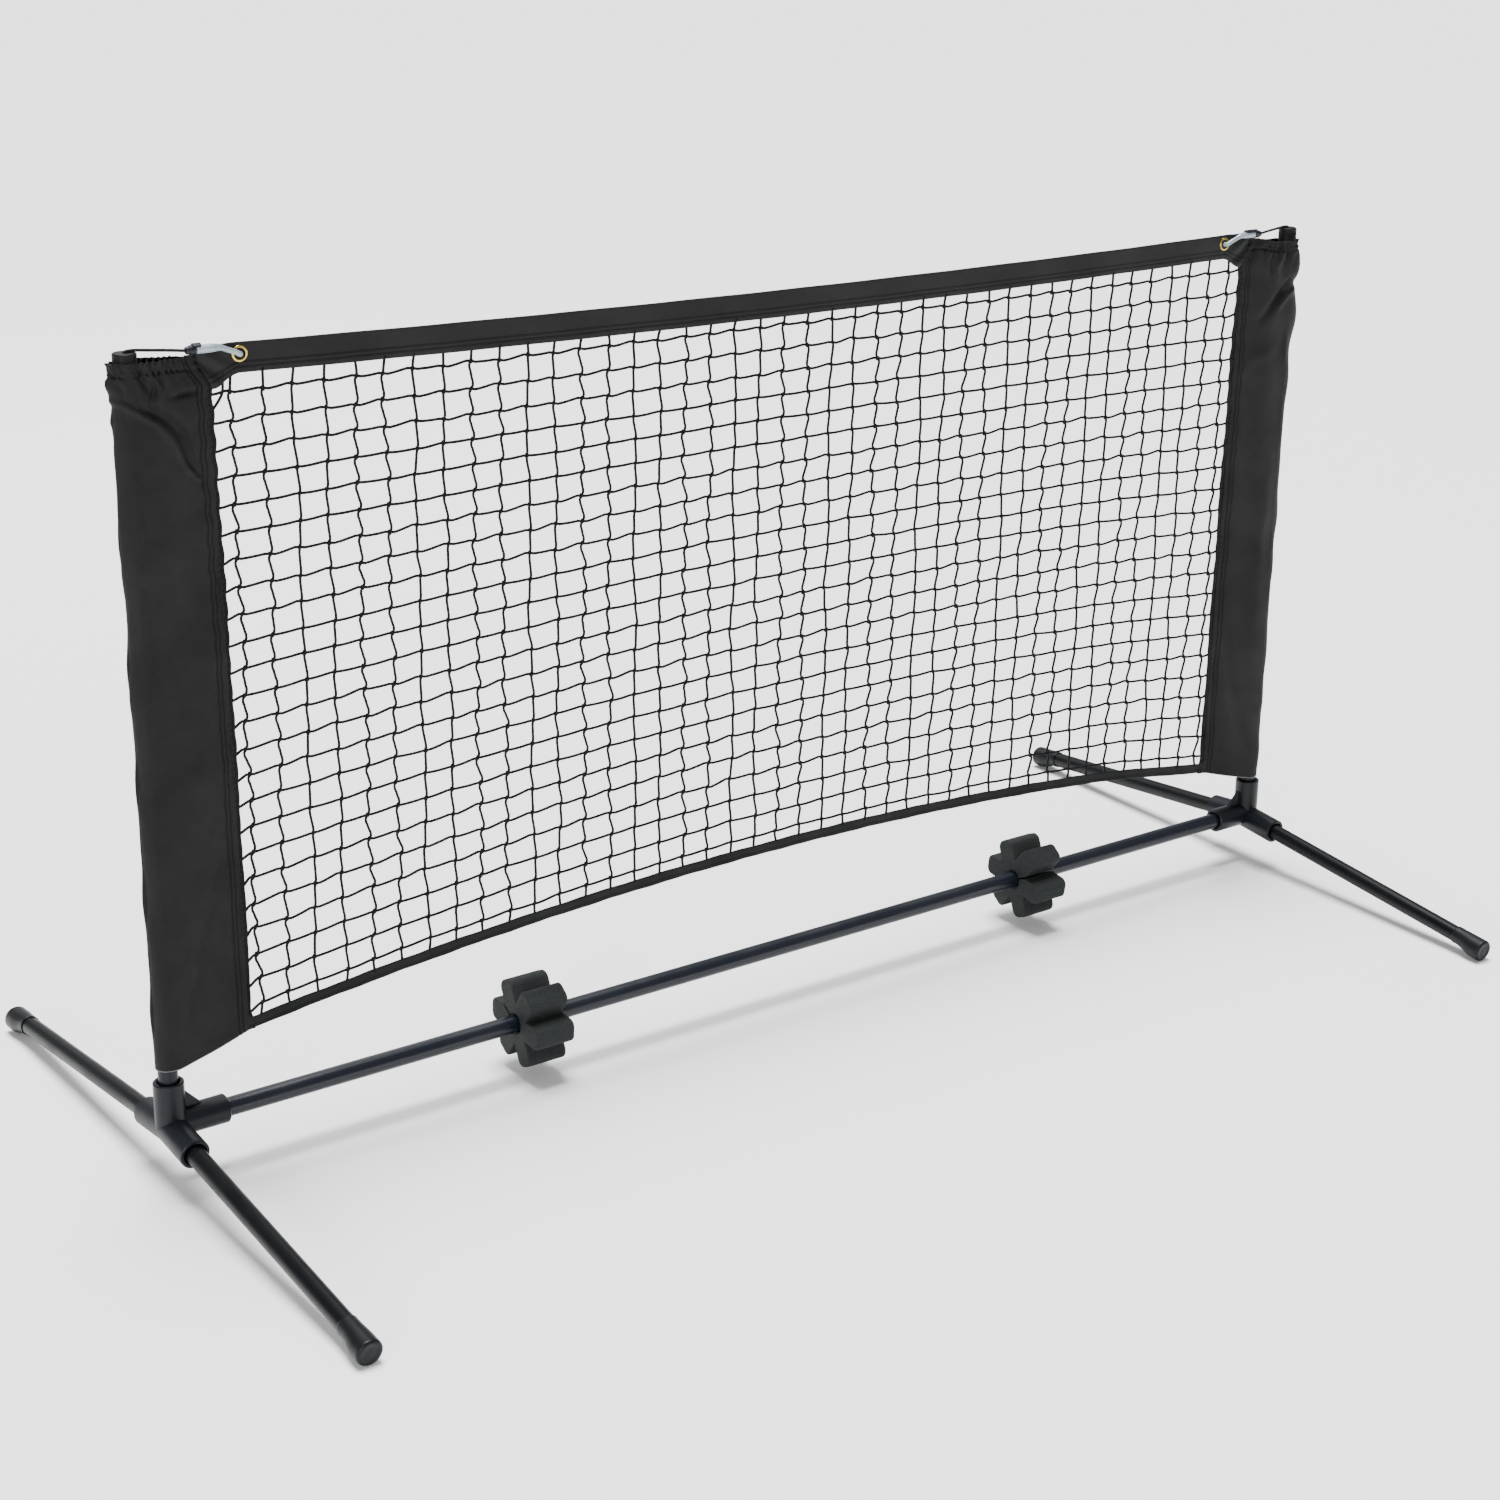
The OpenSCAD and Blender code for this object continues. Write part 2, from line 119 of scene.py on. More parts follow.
# ----------------------------------------
# Finishes shared by several pieces: each is a node group that reads a surface position and puts
# out a height or a mask that changes over the surface.
# ----------------------------------------
def group(name, inputs, outputs):
    """An empty shader node group with named float or vector sockets; returns tree, in and out."""
    tree = bpy.data.node_groups.new(name, "ShaderNodeTree")
    for socket, kind, value in inputs:
        item = tree.interface.new_socket(name=socket, in_out="INPUT", socket_type="NodeSocket" + kind)
        if value is not None:
            item.default_value = value
    for socket, kind in outputs:
        tree.interface.new_socket(name=socket, in_out="OUTPUT", socket_type="NodeSocket" + kind)
    return tree, tree.nodes.new("NodeGroupInput"), tree.nodes.new("NodeGroupOutput")


def math_node(tree, operation, first, second=None, third=None):
    """A Math node; each operand is a socket to link from, or a number."""
    node = tree.nodes.new("ShaderNodeMath")
    node.operation = operation
    for slot, operand in enumerate((first, second, third)):
        if operand is None:
            continue
        if isinstance(operand, (int, float)):
            node.inputs[slot].default_value = operand
        else:
            tree.links.new(operand, node.inputs[slot])
    return node.outputs[0]


def noise_node(tree, vector, scale, detail=2.0, roughness=0.5):
    """A Noise Texture's factor; scale is a number or a socket."""
    node = tree.nodes.new("ShaderNodeTexNoise")
    node.inputs["Detail"].default_value = detail
    node.inputs["Roughness"].default_value = roughness
    tree.links.new(vector, node.inputs["Vector"])
    if isinstance(scale, (int, float)):
        node.inputs["Scale"].default_value = scale
    else:
        tree.links.new(scale, node.inputs["Scale"])
    return node.outputs[0]


def ramp_node(tree, factor, low, high, low_value=0.0, high_value=1.0):
    """Maps a factor from low..high to low_value..high_value, smooth and clamped."""
    node = tree.nodes.new("ShaderNodeMapRange")
    node.interpolation_type = "SMOOTHSTEP"
    spans = {"From Min": low, "From Max": high, "To Min": low_value, "To Max": high_value}
    for socket, value in spans.items():
        node.inputs[socket].default_value = value
    tree.links.new(factor, node.inputs["Value"])
    return node.outputs[0]


# Weave: two crossed sets of threads over the cloth's own UV, counted in metres of cloth
weave, g_in, g_out = group("weave", [("UV", "Vector", None), ("Threads", "Float", 1400.0)],
                           [("Height", "Float")])
parts = weave.nodes.new("ShaderNodeSeparateXYZ")
weave.links.new(g_in.outputs["UV"], parts.inputs[0])
warp, weft = (math_node(weave, "SINE", math_node(weave, "MULTIPLY", way, g_in.outputs["Threads"]))
              for way in (parts.outputs[0], parts.outputs[1]))
over = math_node(weave, "MULTIPLY", warp, weft)
weave.links.new(math_node(weave, "MULTIPLY_ADD", over, 0.5, 0.5), g_out.inputs["Height"])

# Grain: a fine and a coarse noise, for moulded and coated surfaces
grain, g_in, g_out = group("grain", [("Position", "Vector", None), ("Scale", "Float", 600.0)],
                           [("Height", "Float"), ("Patches", "Float")])
fine = noise_node(grain, g_in.outputs["Position"], g_in.outputs["Scale"], 3.0, 0.6)
grain.links.new(fine, g_out.inputs["Height"])
coarse = noise_node(grain, g_in.outputs["Position"], 9.0, 3.0, 0.55)
grain.links.new(ramp_node(grain, coarse, 0.35, 0.65), g_out.inputs["Patches"])

# Scuffs: thin stretched marks that show only here and there
scuffs, g_in, g_out = group("scuffs", [("Position", "Vector", None), ("Stretch", "Vector", (1.0, 1.0, 1.0))],
                            [("Mask", "Float")])
stretch = scuffs.nodes.new("ShaderNodeVectorMath")
stretch.operation = "MULTIPLY"
scuffs.links.new(g_in.outputs["Position"], stretch.inputs[0])
scuffs.links.new(g_in.outputs["Stretch"], stretch.inputs[1])
streak = ramp_node(scuffs, noise_node(scuffs, stretch.outputs[0], 60.0, 4.0, 0.65), 0.62, 0.72)
where = ramp_node(scuffs, noise_node(scuffs, g_in.outputs["Position"], 14.0, 1.0, 0.5), 0.5, 0.62)
scuffs.links.new(math_node(scuffs, "MULTIPLY", streak, where), g_out.inputs["Mask"])


def use_group(tree, group_tree, **inputs):
    """Places a node group; each input is a socket to link from, or a value."""
    node = tree.nodes.new("ShaderNodeGroup")
    node.node_tree = group_tree
    for socket, value in inputs.items():
        if hasattr(value, "is_output"):
            tree.links.new(value, node.inputs[socket])
        else:
            node.inputs[socket].default_value = value
    return node


def object_position(tree):
    """The Object coordinate output."""
    return tree.nodes.new("ShaderNodeTexCoord").outputs["Object"]


def bump(tree, bsdf, height, strength, distance):
    """Feeds a height through a Bump node to the shader's normal."""
    node = tree.nodes.new("ShaderNodeBump")
    node.inputs["Strength"].default_value = strength
    node.inputs["Distance"].default_value = distance
    tree.links.new(height, node.inputs["Height"])
    tree.links.new(node.outputs["Normal"], bsdf.inputs["Normal"])


def two_colours(tree, factor, first, second):
    """Blends two colours by a factor socket; the first colour may be a socket too."""
    node = tree.nodes.new("ShaderNodeMix")
    node.data_type = "RGBA"
    tree.links.new(factor, node.inputs["Factor"])
    if hasattr(first, "is_output"):
        tree.links.new(first, node.inputs["A"])
    else:
        node.inputs["A"].default_value = (*first, 1)
    node.inputs["B"].default_value = (*second, 1)
    return node.outputs["Result"]


def coated(name, colour, worn, roughness, scale, depth, stretch=(1, 1, 1), coat=0.0, marks=0.5, shine=0.3):
    """A moulded or coated finish: grain in the bump, patches in the roughness, scuffs in colour.
    scale is the grain's, depth its height in metres, and stretch draws the scuffs out."""
    material, tree, bsdf = shader(name, Specular_IOR_Level=shine)
    bsdf.inputs["Coat Weight"].default_value = coat
    bsdf.inputs["Coat Roughness"].default_value = 0.25
    position = object_position(tree)
    surface = use_group(tree, grain, Position=position, Scale=scale)
    scuff = use_group(tree, scuffs, Position=position, Stretch=stretch)
    mask = math_node(tree, "MULTIPLY", scuff.outputs["Mask"], marks)
    tree.links.new(two_colours(tree, mask, colour, worn), bsdf.inputs["Base Color"])
    rough = ramp_node(tree, surface.outputs["Patches"], 0, 1, roughness - 0.05, roughness + 0.06)
    tree.links.new(math_node(tree, "MULTIPLY_ADD", mask, 0.2, rough), bsdf.inputs["Roughness"])
    bump(tree, bsdf, surface.outputs["Height"], 0.35, depth)
    return material


def dress(piece, material, body):
    """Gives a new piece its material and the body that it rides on."""
    piece.data.materials.append(material)
    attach(piece, body)
    return piece


def finish_nodes(material, *nodes):
    """Gives CAD nodes whose shape is right their finish."""
    for node in nodes:
        piece = frame["nodes"][node]
        piece.data.materials.clear()
        piece.data.materials.append(material)


SIDES = {"left": -1, "right": 1}
post_x = (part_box("right_post")[0].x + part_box("right_post")[1].x) / 2

# ----------------------------------------
# Tubes: base bar in two halves and two posts of thin steel tube in a smooth blue-black coat, and
# four foot tubes in a duller one. All are cut square and pushed into their sockets.
# ----------------------------------------
bar_coat = coated("bar_coat", (0.004, 0.006, 0.011), (0.03, 0.035, 0.045), 0.30, 900, 0.00003, (6, 1, 1),
                  coat=0.06, marks=0.1, shine=0.32)
post_coat = coated("post_coat", (0.004, 0.006, 0.010), (0.03, 0.035, 0.045), 0.30, 900, 0.00003, (1, 1, 6),
                   marks=0.2, shine=0.2)
foot_coat = coated("foot_coat", (0.0015, 0.002, 0.003), (0.02, 0.022, 0.025), 0.38, 700, 0.00005, (1, 6, 1),
                   marks=0.3, shine=0.16)
finish_nodes(bar_coat, "base_bar_left", "base_bar_right", "base_bar_spigot")
finish_nodes(post_coat, "left_post", "right_post")
finish_nodes(foot_coat, *[f"{end}_{side}_foot_tube" for end in ("front", "rear") for side in SIDES])

# ----------------------------------------
# Corner tees: moulded nylon, one piece each, with four sockets and a rib. Fine moulded grain.
# ----------------------------------------
tee_plastic = coated("tee_plastic", (0.0045, 0.006, 0.0085), (0.03, 0.033, 0.038), 0.40, 1300, 0.00010,
                     marks=0.3, shine=0.2)
finish_nodes(tee_plastic, "left_corner_tee", "right_corner_tee")


def grid_faces(rows, columns, close_rows=False, close_columns=False):
    """Quads of a rows x columns grid of points, optionally joined round in either direction."""
    i = np.arange(rows if close_rows else rows - 1)
    j = np.arange(columns if close_columns else columns - 1)
    i, j = np.meshgrid(i, j, indexing="ij")
    a, b = i * columns + j, i * columns + (j + 1) % columns
    c, d = (i + 1) % rows * columns + (j + 1) % columns, (i + 1) % rows * columns + j
    return np.stack([a, b, c, d], -1).reshape(-1, 4)


def set_uv(piece, u, v):
    """Writes a UV per point: u and v are arrays in the order of the mesh's points."""
    layer = piece.data.uv_layers.new(name="cloth")
    index = np.zeros(len(piece.data.loops), np.int32)
    piece.data.loops.foreach_get("vertex_index", index)
    layer.data.foreach_set("uv", np.stack([u[index], v[index]], -1).astype(np.float32).ravel())


# ----------------------------------------
# Foot caps: moulded rubber sleeves pushed on the tube ends. The top line runs on from the tube,
# the underside swells down to the ground, and the end is a round flat disc with a soft edge.
# ----------------------------------------
foot_rubber = coated("foot_rubber", (0.003, 0.004, 0.005), (0.025, 0.028, 0.03), 0.44, 900, 0.00012,
                     marks=0.4, shine=0.18)
FOOT_TUBE_R, CAP_STEPS, CAP_SIDES = 0.010, 30, 64


def foot_cap(side, end):
    """Rings carried along the foot's axis: each is a circle whose radius and drop below the axis
    grow by a smooth step towards the end, then close over a quarter-round edge to a flat disc;
    points below the ground are laid flat on it."""
    joint = next(j for j in frame["joints"] if j["name"] == f"{end}_{side}_foot_pull")
    along = Vector(joint["axis"])
    across = Vector((1, 0, 0))
    up = across.cross(along) * (1 if along.y > 0 else -1)
    low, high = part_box(f"{end}_{side}_foot_cap")
    tube_low, tube_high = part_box(f"{end}_{side}_foot_tube")
    tip_y = high.y if along.y > 0 else low.y
    centre_x = SIDES[side] * post_x
    length, edge, end_r, grip_r, drop = 0.045, 0.0032, 0.0135, 0.0109, 0.0026
    tube_end = tube_high.y if along.y > 0 else tube_low.y
    axis_z = tube_low.z + FOOT_TUBE_R * abs(along.y)
    tube_tip = Vector((centre_x, tube_end - FOOT_TUBE_R * up.y, axis_z))
    tip = tube_tip + along * ((tip_y - tube_tip.y) / along.y - 0.0002)
    t = np.linspace(0, 1, CAP_STEPS)
    swell = np.clip((t - 0.15) / 0.6, 0, 1)
    swell = swell * swell * (3 - 2 * swell)
    reach = np.concatenate([[-length + 0.002, -length], -length + t * (length - edge)])
    radius = np.concatenate([[0.0100, grip_r - 0.0004], grip_r + (end_r - grip_r) * swell])
    fall = np.concatenate([[0, 0], drop * swell])
    bend = np.linspace(0, math.pi / 2, 9)[1:]
    reach = np.concatenate([reach, -edge + edge * np.sin(bend), [0.0, -0.0004, -0.0004, 0.0]])
    radius = np.concatenate([radius, end_r - edge + edge * np.cos(bend), [0.0092, 0.0086, 0.004, 0.0002]])
    fall = np.concatenate([fall, np.full(len(reach) - len(fall), drop)])
    turn = np.linspace(0, 2 * math.pi, CAP_SIDES, endpoint=False)
    a, u, s = (np.array(v) for v in (along, up, across))
    points = (np.array(tip)[None, None] + reach[:, None, None] * a
              + (radius[:, None] * np.cos(turn) - fall[:, None])[..., None] * u
              + (radius[:, None] * np.sin(turn))[..., None] * s)
    points[..., 2] = np.maximum(points[..., 2], 0.0)
    faces = grid_faces(len(reach), CAP_SIDES, close_columns=True)
    if end == "rear":
        faces = faces[:, ::-1]
    piece = link_mesh(f"{end}_{side}_cap", points.reshape(-1, 3), list(faces))
    dress(piece, foot_rubber, f"{end}_{side}_foot")
    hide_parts(f"{end}_{side}_foot_cap")


for end in ("front", "rear"):
    for side in SIDES:
        foot_cap(side, end)

# ----------------------------------------
# Foam wheels: closed-cell foam cut to six lobes, slit from one notch to the bore so that it
# snaps over the bar. The cut edges are rounded and the skin is full of fine pores.
# ----------------------------------------
foam, tree, bsdf = shader("wheel_foam", Specular_IOR_Level=0.15)
position = object_position(tree)
cells = tree.nodes.new("ShaderNodeTexVoronoi")
cells.inputs["Scale"].default_value = 520.0
tree.links.new(position, cells.inputs["Vector"])
pores = ramp_node(tree, cells.outputs["Distance"], 0.15, 0.55)
patches = use_group(tree, grain, Position=position, Scale=220.0)
tone = math_node(tree, "MULTIPLY_ADD", pores, 0.45,
                 math_node(tree, "MULTIPLY", patches.outputs["Height"], 0.6))
tree.links.new(two_colours(tree, tone, (0.009, 0.0105, 0.0105), (0.022, 0.025, 0.025)),
               bsdf.inputs["Base Color"])
tree.links.new(ramp_node(tree, patches.outputs["Patches"], 0, 1, 0.72, 0.86), bsdf.inputs["Roughness"])
height = math_node(tree, "MULTIPLY_ADD", patches.outputs["Height"], 0.8, pores)
bump(tree, bsdf, height, 0.5, 0.0005)

WHEEL_R, LOBE_HALF, LOBE_CORNER, NOTCH_FLOOR = 0.0495, 0.01275, 0.008, 0.0262
BORE_R, MOUTH_R, MOUTH_DEPTH = 0.01005, 0.0127, 0.0027
SLIT_HALF, CUT_EDGE, AROUND = 0.00125, 0.0028, 720
WHEEL_TURN = {"left": 4.0, "right": 128.0}


def lobe_radius(angle):
    """Distance from the centre to the outline at an angle from the slit: where a ray leaves a
    round-cornered tongue, or the notch floor's radius where that is larger."""
    off = np.abs((np.degrees(angle) % 60) - 30) * math.pi / 180
    straight = LOBE_HALF / np.maximum(np.sin(off), 1e-6)
    corner_y, corner_x = LOBE_HALF - LOBE_CORNER, WHEEL_R - LOBE_CORNER
    along = corner_x * np.cos(off) + corner_y * np.sin(off)
    gap = corner_x * np.sin(off) - corner_y * np.cos(off)
    rounded = along + np.sqrt(np.maximum(LOBE_CORNER ** 2 - gap ** 2, 0))
    flat = WHEEL_R / np.cos(off)
    radius = np.where(np.tan(off) * WHEEL_R < corner_y, flat, rounded)
    radius = np.where(np.tan(off) * corner_x > LOBE_HALF, straight, radius)
    return np.maximum(radius, NOTCH_FLOOR)


def foam_wheel(side):
    """A loop of points (bore, face, rounded edge, tread, face) carried round the wheel's axis
    from one wall of the slit to the other; the edge's rounding draws the outline in."""
    low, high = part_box(f"{side}_foam_wheel")
    middle_x = (low.x + high.x) / 2
    bar_z = (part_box("base_bar_left")[0].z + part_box("base_bar_left")[1].z) / 2
    half = (high.x - low.x) / 2
    edge = [(half - CUT_EDGE + CUT_EDGE * math.cos(a), CUT_EDGE * (1 - math.sin(a)))
            for a in np.linspace(0, math.pi / 2, 7)]
    face = np.linspace(0, 1, 9)
    u = np.linspace(0, 1, AROUND)
    nominal = lobe_radius(u * 2 * math.pi)
    smooth = np.convolve(np.concatenate([nominal[-4:], nominal, nominal[:4]]), np.ones(5) / 5, "same")[4:-4]
    profile_x, profile_r = [], []

    def add(x, radius):
        profile_x.append(np.full(AROUND, x))
        profile_r.append(radius + np.zeros(AROUND))

    for f in face:
        add(-half, MOUTH_R + (smooth - CUT_EDGE - MOUTH_R) * f)
    for x, inset in edge[1:]:
        add(-x, smooth - inset)
    for f in np.linspace(0, 1, 13)[1:-1]:
        add((-half + CUT_EDGE) * (1 - f) + (half - CUT_EDGE) * f, smooth)
    for x, inset in edge[::-1][:-1]:
        add(x, smooth - inset)
    for f in face[::-1]:
        add(half, MOUTH_R + (smooth - CUT_EDGE - MOUTH_R) * f)
    add(half - MOUTH_DEPTH, BORE_R)
    add(-half + MOUTH_DEPTH, BORE_R)
    x, radius = np.array(profile_x).T, np.array(profile_r).T
    slit = np.arcsin(np.minimum(SLIT_HALF / radius, 0.9))
    angle = slit + u[:, None] * (2 * math.pi - 2 * slit)
    turned = angle + math.radians(WHEEL_TURN[side] + 30)
    points = np.stack([middle_x + x, radius * np.cos(turned), bar_z + radius * np.sin(turned)], -1)
    loop = points.shape[1]
    faces = list(grid_faces(AROUND, loop, close_columns=True))
    faces.append(list(range(loop)))
    faces.append(list(range((AROUND - 1) * loop, AROUND * loop))[::-1])
    piece = link_mesh(f"{side}_wheel_foam", points.reshape(-1, 3), faces)
    dress(piece, foam, f"{side}_wheel")
    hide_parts(f"{side}_foam_wheel")


for side in SIDES:
    foam_wheel(side)

# ----------------------------------------
# Post caps: small push-on caps of moulded plastic with a soft upper edge and three fine rings,
# and a hole in the middle for the tension cord.
# ----------------------------------------
cap_plastic = coated("cap_plastic", (0.003, 0.003, 0.0035), (0.02, 0.02, 0.022), 0.45, 1500, 0.00010,
                     shine=0.15)


def lathe(name, profile, centre, axis, sides, material, body):
    """A closed profile of (radius, distance along the axis), listed clockwise, carried round the
    axis on a circle of the given number of sides."""
    radius, along = np.array(profile, float).T
    turn = np.linspace(0, 2 * math.pi, sides, endpoint=False)
    axis = Vector(axis).normalized()
    across = axis.orthogonal().normalized()
    a, p, q = (np.array(way) for way in (axis, across, axis.cross(across)))
    points = (np.array(centre) + along[:, None, None] * a
              + radius[:, None, None] * (np.cos(turn)[None, :, None] * p + np.sin(turn)[None, :, None] * q))
    faces = grid_faces(len(radius), sides, close_rows=True, close_columns=True)
    return dress(link_mesh(name, points.reshape(-1, 3), list(faces)), material, body)


def arc(radius, along, bend, start, stop, steps):
    """Places on an arc of the bend's radius about (radius, along), from start to stop degrees."""
    turn = np.radians(np.linspace(start, stop, steps))
    return list(zip(radius + bend * np.cos(turn), along + bend * np.sin(turn)))


for side, s in SIDES.items():
    low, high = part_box(f"{side}_post_cap")
    outer_r, top, foot, soft, groove = (high.x - low.x) / 2, high.z, low.z, 0.0016, 0.00035
    profile = [(0.0018, top - 0.0035), (0.0018, top - 0.0006)] + arc(0.0024, top - 0.0006, 0.0006, 180, 90, 4)
    profile += arc(outer_r - soft, top - soft, soft, 90, 0, 8)
    for ring in (0.0032, 0.0046, 0.0060):
        profile += [(outer_r, top - ring + 0.0003), (outer_r - groove, top - ring),
                    (outer_r, top - ring - 0.0003)]
    profile += [(outer_r, foot + 0.001)] + arc(outer_r - 0.0004, foot + 0.0004, 0.0004, 0, -90, 3)
    profile += [(outer_r - 0.0012, foot), (outer_r - 0.0012, top - 0.004), (0.0035, top - 0.004)]
    cap = lathe(f"{side}_cap_moulding", profile, (s * post_x, 0, 0), (0, 0, 1), 72, cap_plastic, "net_frame")
    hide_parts(f"{side}_post_cap")


# ----------------------------------------
# Side panels: a folded cloth sleeve round each post, its two layers sewn together along the
# inner edge and bound with tape. The top is shirred on elastic, so short folds fan down from it;
# the net's tension pulls longer folds across, and the bottom edge is cut on a slant.
# ----------------------------------------
STITCH_PITCH = 0.0034


def stitched_cloth(name, dark, light, roughness, threads, seams, cut_edge=None):
    """Woven cloth with rows of machine stitches. seams is a list of UV axis (0 or 1) and place
    in metres; a row is a shallow groove, its colour darkened as painted shade, with a 2.4 mm
    stitch in every 3.4 mm of it. cut_edge is the V at which the pale cut edge of the cloth shows."""
    material, tree, bsdf = shader(name, Sheen_Weight=0.02, Sheen_Roughness=0.45, Specular_IOR_Level=0.13)
    uv = tree.nodes.new("ShaderNodeTexCoord").outputs["UV"]
    split = tree.nodes.new("ShaderNodeSeparateXYZ")
    tree.links.new(uv, split.inputs[0])
    threads_node = use_group(tree, weave, UV=uv, Threads=threads)
    patches = use_group(tree, grain, Position=object_position(tree), Scale=45.0)
    height = math_node(tree, "MULTIPLY", threads_node.outputs["Height"], 0.3)
    tone = math_node(tree, "MULTIPLY_ADD", threads_node.outputs["Height"], 0.35,
                     math_node(tree, "MULTIPLY", patches.outputs["Height"], 0.5))
    stitches, groove_shade = None, None
    for axis, place in seams:
        off = math_node(tree, "ABSOLUTE", math_node(tree, "SUBTRACT", split.outputs[axis], place))
        run = math_node(tree, "FRACT", math_node(tree, "MULTIPLY", split.outputs[1 - axis], 1 / STITCH_PITCH))
        from_middle = math_node(tree, "ABSOLUTE", math_node(tree, "SUBTRACT", run, 0.5))
        stitch = math_node(tree, "MULTIPLY", ramp_node(tree, from_middle, 0.30, 0.40, 1.0, 0.0),
                           ramp_node(tree, off, 0.0003, 0.0005, 1.0, 0.0))
        groove = ramp_node(tree, off, 0.0004, 0.0018, 1.0, 0.0)
        height = math_node(tree, "SUBTRACT", height, groove)
        height = math_node(tree, "MULTIPLY_ADD", stitch, 1.4, height)
        stitches = stitch if stitches is None else math_node(tree, "MAXIMUM", stitches, stitch)
        groove_shade = groove if groove_shade is None else math_node(tree, "MAXIMUM", groove_shade, groove)
    colour = two_colours(tree, tone, dark, light)
    # Painted shade: the seam grooves are darkened almost to black in the colour. The stitches take the
    # thread's own colour.
    marks = [(groove_shade, 0.92, (0.0006, 0.0006, 0.0006)), (stitches, 0.6, (0.008, 0.008, 0.0085))]
    if cut_edge is not None:
        marks.append((ramp_node(tree, split.outputs[1], cut_edge + 0.0005, cut_edge + 0.0011, 1.0, 0.0), 0.75,
                      (0.20, 0.20, 0.19)))
    for mask, share, tint in marks:
        colour = two_colours(tree, math_node(tree, "MULTIPLY", mask, share), colour, tint)
    tree.links.new(colour, bsdf.inputs["Base Color"])
    tree.links.new(ramp_node(tree, patches.outputs["Patches"], 0, 1, roughness - 0.05, roughness + 0.07),
                   bsdf.inputs["Roughness"])
    bump(tree, bsdf, height, 0.6, 0.0004)
    return material


panel_low, panel_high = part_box("left_side_panel")
binding_low, binding_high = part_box("left_panel_binding")
tube_r = (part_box("left_post")[1].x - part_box("left_post")[0].x) / 2
CLOTH_T, SEAM_SLANT, SEAM_FALL = 0.0009, 0.016, 0.032
HEM_LIFT, CORNER_LIFT = {"left": 0.0034, "right": -0.0060}, {"left": 0.020, "right": 0.0150}
TOP_DROP = {"left": 0.0, "right": 0.0065}
PANEL_ROWS_OF_STITCHES = (0.0070, 0.0118)
PANEL_TOP, PANEL_FOOT = panel_high.z, panel_low.z
INNER = post_x + binding_high.x
panel_cloth = stitched_cloth("panel_cloth", (0.0035, 0.0035, 0.0038), (0.013, 0.013, 0.0135), 0.60, 9000.0,
                             [(0, -PANEL_ROWS_OF_STITCHES[0]), (0, -PANEL_ROWS_OF_STITCHES[1])], PANEL_FOOT)


def smooth_step(x, low, high):
    """0 below low, 1 above high, and a smooth cubic between."""
    t = np.clip((x - low) / (high - low), 0, 1)
    return t * t * (3 - 2 * t)


def hill(x, width):
    """A smooth bump of height 1 at x = 0 that falls away over about width."""
    return np.exp(-(x / width) ** 2)


def ripples(x, seed, waves, shortest, longest):
    """A sum of sine waves of random lengths and phases, scaled to about -1..1."""
    rng = np.random.default_rng(seed)
    length, phase = rng.uniform(shortest, longest, waves), rng.uniform(0, 2 * math.pi, waves)
    return sum(np.sin(2 * math.pi * x / a + b) for a, b in zip(length, phase)) / waves ** 0.5


def inner_edge(z, side):
    """Distance from the post axis to the panel's sewn edge at height z: wider at the bottom, wavy
    where the net is tied to it, and slanted back to the post over the top corner."""
    t = (z - PANEL_FOOT) / (PANEL_TOP - PANEL_FOOT)
    wave = 0.0009 * np.sin(z * 2 * math.pi / 0.0278 + (0.4 if side == "left" else 1.9))
    corner = SEAM_SLANT * smooth_step(z, PANEL_TOP - SEAM_FALL, PANEL_TOP + 0.006)
    return INNER + 0.0055 * (1 - t) - 0.0050 * t ** 3 + wave * t - corner


def outer_edge(z, side):
    """How far the sleeve stands out past the post axis: loose and wavy under the shirred top,
    closer below."""
    t = (z - PANEL_FOOT) / (PANEL_TOP - PANEL_FOOT)
    base = 0.0155 - 0.0035 * (1 - t)
    if side == "left":
        return (base + 0.0012 * np.sin(z * 38 + 0.6) * t + 0.0028 * hill(z - 0.826, 0.012)
                - 0.0015 * hill(z - 0.806, 0.010))
    swell = (0.0100 * hill(z - 0.808, 0.019) + 0.0080 * hill(z - 0.742, 0.030)
             - 0.0036 * hill(z - 0.781, 0.009))
    return base + swell + 0.0010 * np.sin(z * 30)


def fold(x, z, path, width):
    """A crease along a chain of (x, z) places: a hill of the distance to the chain, highest in
    the middle of its run and fading out at both ends."""
    best, along, gone = np.full(np.shape(x), 9.0), np.zeros(np.shape(x)), 0.0
    for (ax, az), (bx, bz) in zip(path, path[1:]):
        length = math.dist((ax, az), (bx, bz))
        t = np.clip(((x - ax) * (bx - ax) + (z - az) * (bz - az)) / length ** 2, 0, 1)
        gap = np.hypot(x - ax - t * (bx - ax), z - az - t * (bz - az))
        along = np.where(gap < best, gone + t * length, along)
        best = np.minimum(best, gap)
        gone += length
    return hill(best, width) * np.sin(math.pi * (0.08 + 0.84 * along / gone)) ** 0.7


